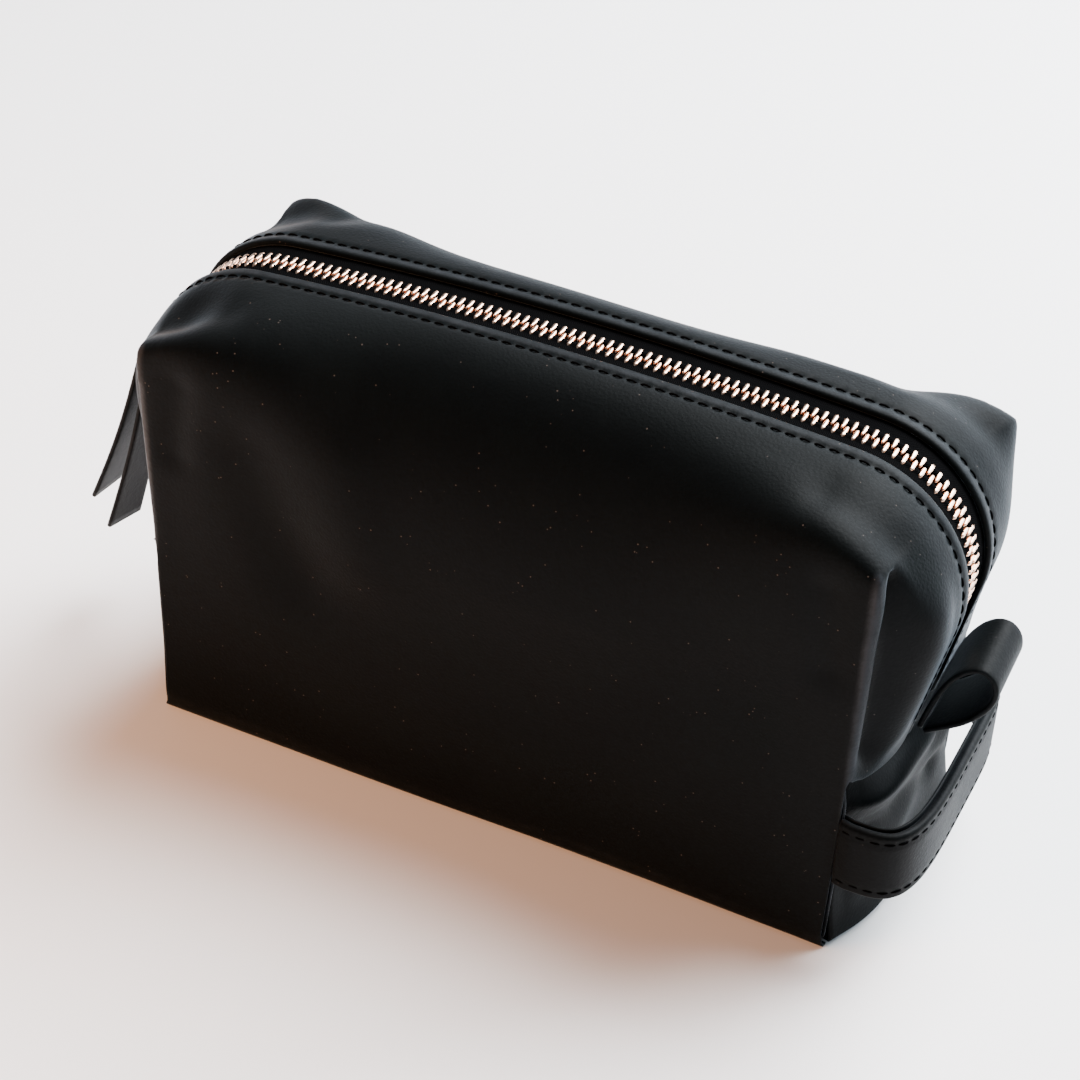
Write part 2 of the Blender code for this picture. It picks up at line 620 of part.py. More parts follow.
def make_handle():
    """Two-ply strap sewn in at both right-hand corner seams, with a row of stitches along each edge."""
    root = (HANDLE_ROOT, 0, HANDLE_HEIGHT)
    half = HANDLE_WIDTH / 2
    for name, out in (("handle_outer", (PLY + GAP) / 2), ("handle_inner", -(PLY + GAP) / 2)):
        x, y = handle_path(out)
        low = np.stack((x, y, np.full_like(x, HANDLE_HEIGHT - half)), axis=-1)
        high = low + np.array([0, 0, HANDLE_WIDTH])
        grid = np.stack((low, high), axis=1)
        outward = (Vector(grid[12].mean(axis=0)), Vector((1, 0, 0)))
        strap = thicken(finish(name, grids_to_mesh(name, [grid], outward), LEATHER_BLACK), PLY, offset=0.0)
        moving_origin(strap, root)
    x, y = handle_path(GAP / 2 + PLY + GAP + THREAD_RADIUS)
    row = half - EDGE_STITCH
    for name, lift in (("handle_stitch_upper", row), ("handle_stitch_lower", -row)):
        points = np.stack((x, y, np.full_like(x, HANDLE_HEIGHT + lift)), axis=-1)[1:-1]
        moving_origin(tube(name, points, THREAD_RADIUS, THREAD_BLACK), root)


def make_loop_tab():
    """Single-ply tab folded into a puffed loop, both ends sewn into the right end seam."""
    t = np.linspace(TAB_SEWN, 2 * math.pi - TAB_SEWN, 21)
    u = TAB_LENGTH * (1 - np.cos(t)) / 2
    w = TAB_PUFF * np.sin(t) * np.sin(t / 2) ** TAB_TAPER + TAB_FOOT * np.cos(t / 2)
    along = np.array([math.cos(TAB_RISE), 0, math.sin(TAB_RISE)])
    beside = np.array([-math.sin(TAB_RISE), 0, math.cos(TAB_RISE)])
    root = np.array([TAB_ROOT[0], 0, TAB_ROOT[1]])
    line = root + u[:, None] * along + w[:, None] * beside
    half = np.array([0, TAB_WIDTH / 2, 0])
    grid = np.stack((line - half, line + half), axis=1)
    outward = (Vector(line[10]), Vector(along))
    mesh = grids_to_mesh("loop_tab", [grid], outward)
    tab = thicken(finish("loop_tab", mesh, LEATHER_BLACK), LEATHER, offset=0.0)
    moving_origin(tab, root)


def make_topstitch():
    """A thread row along each leather edge beside the zip."""
    s = np.linspace(-(S_END - STITCH_STOP), S_END - STITCH_STOP, 57)
    for name, side in (("front_topstitch", -1), ("back_topstitch", 1)):
        tube(name, on_zip(s, side * STITCH_LINE, SKIN + GAP + THREAD_RADIUS), THREAD_RADIUS, THREAD_BLACK)


make_shell()
make_lining()
make_zip()
make_slider()
make_pull()
make_handle()
make_loop_tab()
make_topstitch()
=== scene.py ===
"""Black leather shaving kit bag: the looks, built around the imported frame."""
import math

import bmesh
import bpy
import numpy as np
from mathutils import Matrix, Vector


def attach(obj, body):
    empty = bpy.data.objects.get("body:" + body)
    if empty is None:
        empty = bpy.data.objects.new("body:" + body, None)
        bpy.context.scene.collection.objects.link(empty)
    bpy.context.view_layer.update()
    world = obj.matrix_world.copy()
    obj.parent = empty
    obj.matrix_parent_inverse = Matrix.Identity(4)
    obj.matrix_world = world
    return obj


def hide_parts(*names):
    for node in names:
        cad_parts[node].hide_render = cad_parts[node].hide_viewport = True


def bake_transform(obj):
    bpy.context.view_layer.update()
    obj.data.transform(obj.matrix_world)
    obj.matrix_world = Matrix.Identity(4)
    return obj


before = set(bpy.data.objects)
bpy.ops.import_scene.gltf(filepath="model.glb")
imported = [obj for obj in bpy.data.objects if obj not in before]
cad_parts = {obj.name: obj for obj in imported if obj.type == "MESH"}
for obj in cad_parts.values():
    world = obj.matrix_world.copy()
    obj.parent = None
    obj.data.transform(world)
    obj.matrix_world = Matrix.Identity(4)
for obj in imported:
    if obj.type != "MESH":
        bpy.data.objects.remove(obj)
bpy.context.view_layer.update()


# Floor, light and camera. A pale table lit softly from behind, above and the right, with a weak
# warm fill from the left front, seen from a raised three-quarter view on the front's right.
class Wire:
    """A shader socket to reckon with: arithmetic on it adds the Math nodes that work it out."""

    def __init__(self, tree, socket=None):
        self.tree, self.socket = tree, socket

    def node(self, kind, settings=None, feeds=None, out=0):
        """Add a node, set it up, feed its sockets with numbers, colours or wires, and return an output."""
        made = self.tree.nodes.new("ShaderNode" + kind)
        for key, value in (settings or {}).items():
            setattr(made, key, value)
        for key, value in (feeds or {}).items():
            if isinstance(value, Wire):
                self.tree.links.new(value.socket, made.inputs[key])
            else:
                made.inputs[key].default_value = value
        return Wire(self.tree, made.outputs[out] if made.outputs else None)

    def reckon(self, operation, *values):
        """A Math node on numbers or wires."""
        return self.node("Math", {"operation": operation}, dict(enumerate(values)))

    def __add__(self, other):
        return self.reckon("ADD", self, other)

    def __radd__(self, other):
        return self.reckon("ADD", other, self)

    def __sub__(self, other):
        return self.reckon("SUBTRACT", self, other)

    def __rsub__(self, other):
        return self.reckon("SUBTRACT", other, self)

    def __mul__(self, other):
        return self.reckon("MULTIPLY", self, other)

    def step(self, low, high):
        """0 below low, 1 above high and a smooth ramp between."""
        feeds = {"Value": self, "From Min": low, "From Max": high}
        return self.node("MapRange", {"interpolation_type": "SMOOTHSTEP"}, feeds)

    def mix(self, a, b):
        """Colour a where this wire is 0 and colour b where it is 1."""
        return self.node("Mix", {"data_type": "RGBA"}, {0: self, 6: a, 7: b}, out=2)


def new_material(name):
    """An empty material, its Principled shader and a wire to build with."""
    material = bpy.data.materials.new(name)
    material.use_nodes = True
    tree = material.node_tree
    return material, tree.nodes["Principled BSDF"], Wire(tree)


def feed(shader, **values):
    """Set or link the shader's sockets; an underscore in a name stands for a space."""
    for key, value in values.items():
        socket = shader.inputs[key.replace("_", " ")]
        if isinstance(value, Wire):
            shader.id_data.links.new(value.socket, socket)
        else:
            socket.default_value = value


def table_top():
    """Pale painted table with a faint grey mottle."""
    material, shader, wire = new_material("pale_table")
    place = wire.node("TexCoord", out="Object")
    mottle = wire.node("TexNoise", None, {"Vector": place, "Scale": 3.0, "Detail": 3.0})
    pale = mottle.mix((0.80, 0.79, 0.785, 1), (0.86, 0.85, 0.85, 1))
    feed(shader, Base_Color=pale, Roughness=0.55)
    mesh = bpy.data.meshes.new("table")
    side = 6.0
    corners = [(-side, -side, 0), (side, -side, 0), (side, side, 0), (-side, side, 0)]
    mesh.from_pydata(corners, [], [(0, 1, 2, 3)])
    mesh.materials.append(material)
    table = bpy.data.objects.new("table", mesh)
    bpy.context.scene.collection.objects.link(table)


def area_light(name, place, target, size, power, colour, glossy=True):
    """A soft square light at a place, turned to its target."""
    data = bpy.data.lights.new(name, "AREA")
    data.size, data.energy, data.color = size, power, colour
    light = bpy.data.objects.new(name, data)
    light.visible_glossy = glossy
    light.location = place
    light.rotation_euler = (Vector(target) - Vector(place)).to_track_quat("-Z", "Y").to_euler()
    bpy.context.scene.collection.objects.link(light)


def look_from(azimuth, elevation, roll, distance, slide, rise, lens):
    """Camera that looks at the bag from an azimuth right of its front, moved across its own view."""
    az, el = math.radians(azimuth), math.radians(elevation)
    back = Vector((math.sin(az) * math.cos(el), -math.cos(az) * math.cos(el), math.sin(el)))
    right = Vector((math.cos(az), math.sin(az), 0))
    up = back.cross(right)
    turn = math.radians(roll)
    right, up = (right * math.cos(turn) + up * math.sin(turn), up * math.cos(turn) - right * math.sin(turn))
    data = bpy.data.cameras.new("camera")
    data.lens, data.sensor_width = lens, 36.0
    camera = bpy.data.objects.new("camera", data)
    axes = Matrix((right, up, back)).transposed().to_4x4()
    aim = Vector((0, 0, 0.3 * bag_length))
    camera.matrix_world = Matrix.Translation(aim + back * distance + right * slide + up * rise) @ axes
    bpy.context.scene.collection.objects.link(camera)
    bpy.context.scene.camera = camera


bag_length = 0.230
table_top()
world = bpy.data.worlds.new("room")
bpy.context.scene.world = world
world.use_nodes = True
world.node_tree.nodes["Background"].inputs["Color"].default_value = (0.72, 0.86, 1.0, 1)
world.node_tree.nodes["Background"].inputs["Strength"].default_value = 0.24
area_light("window", (0.60, 1.50, 0.55), (0, 0, 0.10), 1.7, 105, (0.82, 0.91, 1.0))
area_light("ceiling", (0.42, 0.80, 1.35), (0, -0.05, 0), 1.1, 140, (0.97, 0.98, 1.0))
area_light("warm_fill", (-0.70, -0.62, 0.30), (-0.05, -0.05, 0.0), 0.4, 20.0, (1.0, 0.46, 0.20),
           glossy=False)
area_light("side_window", (1.25, 0.95, 0.50), (0.10, 0, 0.10), 0.8, 8, (0.84, 0.92, 1.0))
look_from(25.3, 37.9, 1.9, 3.31 * bag_length, -0.0178 * bag_length, 0.0322 * bag_length, 83.33)


# Zip line: the route that every zip part, leather edge and thread row follows. A shallow crown
# over the top, a tight shoulder at each end and a straight run down to the end seam.
half_depth = 0.046
chain_height = 0.152
crown_radius, crown_run, shoulder_radius = 1.170, 0.0935, 0.037
crown_lean = crown_run / crown_radius
last_lean = math.radians(102)
shoulder_run = (last_lean - crown_lean) * shoulder_radius
s_ear = crown_run + (math.radians(45) - crown_lean) * shoulder_radius
s_slider = -(crown_run + (math.radians(90) - crown_lean) * shoulder_radius)
s_end = crown_run + shoulder_run + 0.0427


def zip_line(s):
    """x, z and outward normal at run s from mid top: the lean grows at 1/radius, then stays."""
    run = np.abs(s)
    crown = np.minimum(run, crown_run) / crown_radius
    lean = crown + np.clip(run - crown_run, 0, shoulder_run) / shoulder_radius
    last = np.maximum(run - crown_run - shoulder_run, 0)
    inner = crown_radius - shoulder_radius
    x = inner * np.sin(crown) + shoulder_radius * np.sin(lean) + last * np.cos(lean)
    z = (chain_height - inner * (1 - np.cos(crown)) - shoulder_radius * (1 - np.cos(lean))
         - last * np.sin(lean))
    side = np.where(s < 0, -1.0, 1.0)
    return side * x, z, side * np.sin(lean), np.cos(lean)


def on_zip(s, y, n):
    """Points at run s, y across and n out: the line's point plus n of its normal, moved y sideways."""
    s, y, n = np.broadcast_arrays(np.asarray(s, float), y, n)
    x, z, nx, nz = zip_line(s)
    return np.stack((x + nx * n, y, z + nz * n), axis=-1)


def ease(value, low, high):
    """Smooth step: 3t^2 - 2t^3 of how far the value has gone from low to high."""
    t = np.clip((value - low) / (high - low), 0, 1)
    return t * t * (3 - 2 * t)


def sheet_mesh(name, grids, runs, outward):
    """Weld point grids into one open mesh that keeps each point's run along the zip as an attribute."""
    points = np.concatenate([g.reshape(-1, 3) for g in grids])
    quads, first = [], 0
    for g in grids:
        at = first + np.arange(g.shape[0] * g.shape[1]).reshape(g.shape[:2])
        quads.append(np.stack((at[:-1, :-1], at[1:, :-1], at[1:, 1:], at[:-1, 1:]), -1).reshape(-1, 4))
        first += g.shape[0] * g.shape[1]
    mesh = bpy.data.meshes.new(name)
    mesh.from_pydata(points.tolist(), [], np.concatenate(quads).tolist())
    keep = mesh.attributes.new("run", "FLOAT", "POINT")
    keep.data.foreach_set("value", np.concatenate([r.ravel() for r in runs]).astype(np.float32))
    bm = bmesh.new()
    bm.from_mesh(mesh)
    bmesh.ops.remove_doubles(bm, verts=bm.verts, dist=1e-6)
    bmesh.ops.recalc_face_normals(bm, faces=bm.faces)
    spot, direction = outward
    near = min(bm.faces, key=lambda f: (f.calc_center_median() - Vector(spot)).length)
    if near.normal.dot(Vector(direction)) < 0:
        bmesh.ops.reverse_faces(bm, faces=bm.faces)
    bm.to_mesh(mesh)
    bm.free()
    return mesh


def place_piece(name, mesh, material):
    """Put a finished mesh in the scene as a smooth piece at the origin."""
    mesh.materials.clear()
    mesh.materials.append(material)
    mesh.shade_smooth()
    piece = bpy.data.objects.new(name, mesh)
    bpy.context.scene.collection.objects.link(piece)
    return piece


def wall(piece, thickness, offset=-1.0):
    """Thicken an open sheet behind its faces."""
    solid = piece.modifiers.new("wall", "SOLIDIFY")
    solid.thickness, solid.offset = thickness, offset
    return piece


# Front and back panels. Soft full-grain waxed leather, one piece each: the face, its half of the
# top, and its half of both upper ends. The edge beside the zip is turned under and topstitched.
leather_thick = 0.0006
lip = 0.0088
flat = 0.014
skin = 0.00225
stitch_line = 0.0135
stitch_pitch = 0.0043
seam_height = 0.067
base_round = 0.0028
base_half = 0.113
lip_radius = 0.00095
hem_roll = 0.0015


def ridge_half(z):
    """Half length at the corner ridge, in proportion to height: 113 mm at the base, 115 at the top."""
    return base_half + (bag_length / 2 - base_half) * z / zip_line(np.float64(s_ear))[1]


def bend_share(y, edge):
    """0 on the flat beside the zip, then the square of the way to the edge."""
    return np.clip((np.abs(y) - flat) / (edge - flat), 0, None) ** 2


def hem_columns():
    """y and n of the turned edge: in from under the leather, half round the lip and out on top."""
    turn = np.linspace(-math.pi / 2, math.pi / 2, 9)
    middle = skin + 0.0001 - lip_radius
    y = np.concatenate(([lip + 0.0042, lip + 0.0025], lip + lip_radius * (1 - np.cos(turn))))
    n = np.concatenate(([middle - lip_radius] * 2, middle + lip_radius * np.sin(turn)))
    out = np.array([lip + 0.0016, lip + 0.0026, lip + 0.0036, stitch_line - 0.0003, stitch_line + 0.0003])
    return np.append(y, out), np.append(n, [skin + 0.0001, skin + 0.00005, skin, skin, skin])


def panel_grids():
    """Grids of the front panel, from conic cross-sections: y share f and drop share g of a conic
    with weight w obey 1 + 2wr + r^2 = 1/(1 - f) and g = r^2 (1 - f), and w grows towards the ears."""
    s = np.linspace(-s_ear, s_ear, 223)[:, None]
    along = s / s_ear
    sharp = along ** 4
    x0, z0, nx, nz = zip_line(s)
    x0, z0 = x0 + nx * skin, z0 + nz * skin
    side = half_depth + 0.002 * (1 - sharp)
    fall = 0.0635 - 0.0535 * sharp
    weight = 0.707 + 5.293 * sharp
    share = np.linspace(0, 1, 27)[None, 1:] * (2 * weight + 1) / (2 * weight + 2)
    r = -weight + np.sqrt(weight ** 2 + share / (1 - share))
    y = flat + share * (side - flat)
    z = z0 - fall * r ** 2 * (1 - share)
    edge_x = ridge_half(z[:, -1:]) * along
    x = x0 + (edge_x - x0) * bend_share(y, y[:, -1:])
    hem_y, hem_n = hem_columns()
    hem = on_zip(s, hem_y[None] + 0 * s, hem_n[None] + 0 * s)
    hem = np.concatenate((hem, on_zip(s, flat, skin)), axis=1)
    top = np.concatenate((hem, np.stack((x, y, z), -1)), axis=1)

    corner_z, corner_x = z[:, -1:], x[:, -1:]
    down = np.concatenate((end_shares(), 1 + np.linspace(0, 1, 34)[1:]))[None]
    wall_z = np.where(down <= 1, corner_z + (seam_height - corner_z) * down,
                      seam_height + (base_round - seam_height) * (down - 1))
    drop = np.clip((z0 - wall_z) / fall, 1e-6, 1)
    q = -weight + np.sqrt(weight ** 2 - 1 + 1 / drop)
    on_conic = flat + (1 - q ** 2 * drop) * (side - flat)
    below = np.clip((z0 - fall - wall_z) / (z0 - fall - base_round), 0, 1)
    wall_y = np.where(wall_z > z0 - fall, on_conic, side - (side - half_depth) * below)
    turn = np.linspace(0, math.pi / 2, 7)[None, 1:] + 0 * s
    wall_y = np.concatenate((wall_y, half_depth - base_round * (1 - np.cos(turn))), axis=1)
    wall_z = np.concatenate((wall_z, base_round * (1 - np.sin(turn))), axis=1)
    wall_x = ridge_half(wall_z) * along
    wall_x = wall_x + (corner_x - wall_x) * np.clip(wall_z / corner_z, 0, 1) ** 2
    face = np.stack((wall_x, wall_y, wall_z), -1)
    face[:, 0] = top[:, -1]
    grids = [top, face]
    runs = [s + 0 * top[..., 0], s + 0 * face[..., 0]]
    for side, column in ((-1, 0), (1, -1)):
        share = end_shares()[:, None]
        s_row = side * (s_ear + (s_end - s_ear) * share)
        edge = face[column, :len(share)][:, None]
        first = top[column][None]
        mid = on_zip(s_row, 0.0, skin)
        hem_row = on_zip(s_row, hem_y[None] + 0 * s_row, hem_n[None] + 0 * s_row)
        y_first = first[:, len(hem_y):, 1]
        y = flat + (y_first - flat) * (edge[..., 1] - flat) / (y_first[:, -1:] - flat)
        bent = bend_share(y, edge[..., 1])[..., None]
        row = mid + (edge - mid) * bent
        row[..., 1] = y
        start = first[:, len(hem_y):]
        plain = mid[:1] + (start[:, -1:] - mid[:1]) * bend_share(y_first, y_first[:, -1:])[..., None]
        plain[..., 1] = y_first
        row = row + (start - plain) * (1 - share[..., None])
        row[:, -1:] = edge
        grid = np.concatenate((hem_row, row), axis=1)
        grid[0] = top[column]
        roll = np.linspace(0, 2.6, 8)[1:, None, None]
        tuck = np.concatenate((-side * (1 - np.cos(roll)), 0 * roll, -np.sin(roll)), axis=2)
        inside = ease(half_depth - grid[-1:, :, 1:2], -0.001, 0.006)
        grid = np.concatenate((grid, grid[-1:] + hem_roll * tuck * inside))
        s_row = np.concatenate((s_row, np.full((7, 1), side * s_end)))
        grids.append(grid)
        runs.append(s_row + 0 * grid[..., 0])
    return [g * np.array([1.0, -1.0, 1.0]) for g in grids], runs


def end_shares():
    """How far down an upper end each row lies, from the ear to the end seam."""
    return np.linspace(0, 1, 56)


def crease(points, start, end, width, depth):
    """A soft valley along a segment: depth times exp(-(distance to it / width)^2)."""
    start, end = np.array(start), np.array(end)
    along = end - start
    t = np.clip(((points - start) @ along) / (along @ along), 0, 1)
    away = np.linalg.norm(points - start - t[:, None] * along, axis=1)
    return depth * np.exp(-(away / width) ** 2)


def ripple(points, scale, seed):
    """Slow unevenness of soft leather: a few sines of position in seeded directions."""
    random = np.random.default_rng(seed)
    total = np.zeros(len(points))
    for _ in range(7):
        direction = random.normal(size=3)
        direction *= random.uniform(0.6, 1.6) / scale / np.linalg.norm(direction)
        total += np.sin(points @ direction + random.uniform(0, 6.28))
    return total / 7


def read_points(mesh):
    """Points, normals and runs of a mesh, as arrays."""
    count = len(mesh.vertices)
    points, normals, runs = np.empty(3 * count), np.empty(3 * count), np.empty(count)
    mesh.vertices.foreach_get("co", points)
    mesh.vertex_normals.foreach_get("vector", normals)
    mesh.attributes["run"].data.foreach_get("value", runs)
    return points.reshape(-1, 3), normals.reshape(-1, 3), runs


def write_points(mesh, points, **attributes):
    """Put moved points back, with any named value for each point."""
    mesh.vertices.foreach_set("co", points.ravel())
    for name, values in attributes.items():
        store = mesh.attributes.new(name, "FLOAT", "POINT")
        store.data.foreach_set("value", values.astype(np.float32))
    mesh.update()


ear_height = 0.139
fold_depth = 0.0070
fold_line = 0.0394
fold_strength = {(-1, 1): 1.0, (-1, -1): 0.45, (1, 1): 0.0, (1, -1): 0.3}


def soften_panel(mesh, side, folded=True):
    """Move the panel's points along their normals by stitch dimples, dents and ripples, and, where
    folded, sink a valley exp(-((|y| - line) / width)^2) into each end behind its ridge."""
    points, normals, runs = read_points(mesh)
    x, y, z = points.T
    y = np.abs(y)
    beside = np.stack((x, y, z), axis=1)
    ends = ease(np.abs(runs), s_ear - 0.012, s_ear + 0.004)
    dimple = 0.5 - 0.5 * np.cos(2 * math.pi * runs / stitch_pitch)
    groove = np.exp(-((y - stitch_line) / 0.0009) ** 2) * (normals[:, 2] ** 2 + normals[:, 0] ** 2 > 0.5)
    move = -groove * (0.00018 + 0.00050 * dimple)
    swell = np.exp(-((y - lip - 0.0022) / 0.0016) ** 2)
    move += 0.00018 * swell
    away = ease(y, 0.015, 0.024)
    move += away * 0.0011 * ripple(points, 0.040, 3 + side) * (1 - 0.6 * ends)
    move += away * 0.0005 * ripple(points, 0.015, 11 + side)
    fold = np.zeros(len(x))
    for end in (-1, 1):
        upper = ease(z, 0.064, 0.076) * (end * x > 0.104) * fold_strength[side, end]
        below_ear = ear_height - z
        width = 0.0018 + 0.0022 * ease(below_ear, 0.0, 0.030)
        line = fold_line - 0.0010 * ease(below_ear, 0.0, 0.045)
        valley = ease(below_ear, 0.000, 0.006) * (1 - 0.30 * ease(below_ear, 0.035, 0.070))
        fold -= end * upper * fold_depth * valley * np.exp(-((y - line) / width) ** 2)
        puff = np.exp(-((y - 0.0300) / 0.0075) ** 2) * ease(below_ear, 0.004, 0.022)
        fold += end * upper * away * 0.0030 * puff * (1 - 0.5 * ease(below_ear, 0.045, 0.070))
        move -= crease(beside, (end * 0.1010, 0.0465, 0.129), (end * 0.1040, 0.0470, 0.104), 0.0060, 0.0012)
        top_fold = (end * 0.1130, 0.0320, 0.139), (end * 0.0930, 0.0300, 0.147)
        move -= away * crease(beside, *top_fold, 0.0070, 0.0018)
    if side < 0:
        move -= crease(beside, (-0.078, 0.047, 0.112), (-0.062, 0.048, 0.074), 0.014, 0.0026)
        move += crease(beside, (-0.048, 0.046, 0.118), (-0.040, 0.048, 0.086), 0.012, 0.0012)
        move -= crease(beside, (0.020, 0.048, 0.060), (0.075, 0.048, 0.085), 0.022, 0.0014)
    else:
        move -= crease(beside, (-0.060, 0.047, 0.060), (0.050, 0.047, 0.078), 0.024, 0.0020)
    foot = np.exp(-(z / 0.010) ** 2) * (y > 0.030)
    fixed = 1 - ease(0.010 - z, 0.0, 0.008) * (y < 0.0445)
    points = points + normals * (move * fixed)[:, None]
    if folded:
        points[:, 0] += fold
    points = settle(points)
    points[:, 2] += foot * 0.0007 * (1 + np.sin(x / 0.021 + side)) * ease(z, 0.0005, 0.004)
    points[:, 2] = np.maximum(points[:, 2], 0.0001)
    # rub: paler on the corner ridges, on the lip's swell along the top and along the foot; rubbed wear with a
    # painted sheen where these edges catch the light.
    ridge = np.exp(-((np.abs(x) - 0.1145) / 0.0022) ** 2) * ease(y, 0.041, 0.045) * ease(z, 0.004, 0.02)
    rub = np.clip(ridge + 0.6 * swell * (z > 0.1) + 0.35 * np.exp(-((z - 0.004) / 0.004) ** 2), 0, 1)
    write_points(mesh, points, rub=rub)


def waxed_leather(name, base, rub_colour, rough, specks, sheen):
    """Black waxed leather: fine pebbled grain, slow mottling, pale bluish edges where rub is high (rubbed
    wear with a painted sheen) and stray dust.
    """
    material, shader, wire = new_material(name)
    place = wire.node("TexCoord", out="Object")
    mottle = wire.node("TexNoise", None, {"Vector": place, "Scale": 26.0, "Detail": 6.0, "Roughness": 0.62})
    cloud = wire.node("TexNoise", None, {"Vector": place, "Scale": 9.0, "Detail": 2.0})
    pebble = wire.node("TexVoronoi", {"feature": "SMOOTH_F1"}, {"Vector": place, "Scale": 1150.0})
    pore = wire.node("TexNoise", None, {"Vector": place, "Scale": 2400.0, "Detail": 2.0})
    wrinkle = wire.node("TexNoise", None, {"Vector": place, "Scale": 210.0, "Detail": 5.0, "Roughness": 0.7})
    cell = wire.node("TexVoronoi", None, {"Vector": place, "Scale": 420.0})
    pick = wire.node("TexNoise", None, {"Vector": place, "Scale": 130.0, "Detail": 1.0})
    rub = wire.node("Attribute", {"attribute_name": "rub"}, out="Fac")
    # Rubbed wear with a painted sheen: where rub is high, the colour turns a paler bluish grey.
    worn_and_sheen = rub * (0.35 + wrinkle) * 0.9
    shade = (mottle * 0.75 + cloud * 0.25).step(0.35, 0.75)
    colour = shade.mix((*base, 1), tuple(min(1.0, 1.9 * c) for c in base) + (1,))
    colour = worn_and_sheen.step(0.15, 0.85).mix(colour, (*rub_colour, 1))
    fleck = (1 - cell.step(0.060, 0.120)) * pick.step(0.56, 0.60) * specks
    colour = fleck.mix(colour, (0.085, 0.070, 0.060, 1))
    roughness = rough + (mottle - 0.5) * 0.22 + (pebble - 0.4) * 0.10 - worn_and_sheen * 0.05
    height = pebble * 0.5 + pore * 0.22 + wrinkle * 0.55 + mottle * 0.8
    bump = wire.node("Bump", None, {"Height": height, "Strength": 0.42, "Distance": 0.00028})
    feed(shader, Base_Color=colour, Roughness=roughness, Normal=bump, Specular_IOR_Level=0.035,
         Sheen_Weight=sheen, Sheen_Roughness=0.40, Sheen_Tint=(0.72, 0.86, 1.0, 1))
    return material


return_width = 0.0068
return_dip, seam_dip = 0.0048, 0.0040


def edge_return(side):
    """Grids of the lower corners: the panel's upright edges turned back along the ends, then dipped in."""
    grids, runs = [], []
    z = np.linspace(base_round, seam_height, 34)[:, None]
    share = np.linspace(0, 1, 10)[None]
    for end in (-1, 1):
        dip = return_dip * ease(share, 0.35, 1.0)
        top_dip = seam_dip * ease(z, seam_height - 0.008, seam_height) * ease(share, 0, 0.3)
        x = end * (ridge_half(z) - dip - top_dip)
        y = half_depth - return_width * share + 0 * z
        grids.append(np.stack((x, side * y, z + 0 * share), -1))
        runs.append(0 * x + end * s_ear)
    return grids, runs


def settle(points):
    """How the filled bag stands: the back right corner pushed out, the front left one leaning in at
    the top and out at the foot, and the back's top edge sunk beside its corners."""
    x, y, z = points.T.copy()
    back_right = ease(y, 0.014, 0.046) * ease(x, 0.050, 0.115)
    front_left = ease(-y, 0.014, 0.046) * ease(-x, 0.050, 0.115)
    moved = points.copy()
    moved[:, 0] += 0.0050 * back_right + front_left * (-0.0012 + 0.0006 * ease(z, 0, 0.09))
    high = ease(z, 0.085, 0.130)
    sink = 0.0098 * np.exp(-((x - 0.082) / 0.020) ** 2) + 0.0030 * np.exp(-((x + 0.088) / 0.012) ** 2)
    sink -= 0.0022 * np.exp(-((x + 0.030) / 0.040) ** 2)
    moved[:, 2] -= high * sink * ease(y, 0.022, 0.044)
    beside_zip = np.exp(-((np.abs(y) - 0.028) / 0.010) ** 2) * np.exp(-((x + 0.107) / 0.010) ** 2)
    moved[:, 2] -= high * beside_zip * np.where(y < 0, 0.0045, 0.0025)
    moved[:, 2] += 0.0030 * np.exp(-((x + 0.113) / 0.010) ** 2) * high * ease(y, 0.034, 0.045)
    back_ear = ease(x, 0.085, 0.118) * ease(y, 0.028, 0.048)
    moved[:, 0] += 0.0030 * np.exp(-((z - 0.135) / 0.014) ** 2) * back_ear
    moved[:, 2] -= high * 0.0016 * np.exp(-((x + 0.100) / 0.016) ** 2) * ease(-y, 0.020, 0.042)
    moved[:, 1] -= 0.0012 * (1 - ease(z, 0, 0.03)) * ease(-y, 0.040, 0.046)
    return moved


def round_ridges(mesh, rounds):
    """Relax the points beside the corner ridges so that the leather rolls round them."""
    bm = bmesh.new()
    bm.from_mesh(mesh)
    bm.verts.ensure_lookup_table()
    x, y, z = np.abs(read_points(mesh)[0].T)
    near = (x > 0.1075) & (y > 0.0400) & (z > 0.002)
    groups = [[bm.verts[n] for n in np.flatnonzero(chosen)] for chosen in (near, near & (z < 0.126))]
    for step in range(rounds):
        bmesh.ops.smooth_vert(bm, verts=groups[step >= 3], factor=0.5,
                              use_axis_x=True, use_axis_y=True, use_axis_z=True)
    bm.to_mesh(mesh)
    bm.free()


panel_leather = waxed_leather("panel_leather", (0.0009, 0.0013, 0.0013), (0.020, 0.022, 0.025),
                              rough=0.55, specks=0.6, sheen=0.07)
for panel, side in (("front_panel", -1), ("back_panel", 1)):
    grids, runs = panel_grids()
    returns, return_runs = edge_return(side)
    grids = [g * np.array([1.0, -side, 1.0]) for g in grids] + returns
    runs += return_runs
    shape = sheet_mesh(panel + "_skin", grids, runs, ((0, side * half_depth, 0.06), (0, side, 0)))
    round_ridges(shape, rounds=12)
    soften_panel(shape, side)
    piece = wall(place_piece(panel + "_leather", shape, panel_leather), leather_thick)
    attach(piece, "shell")
    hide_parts(panel)


# Linings. Thin grey cotton drill hung behind each panel and caught under its turned edge.
lining_gap = 0.0026
lining_thick = 0.0006
end_inset = 0.0115


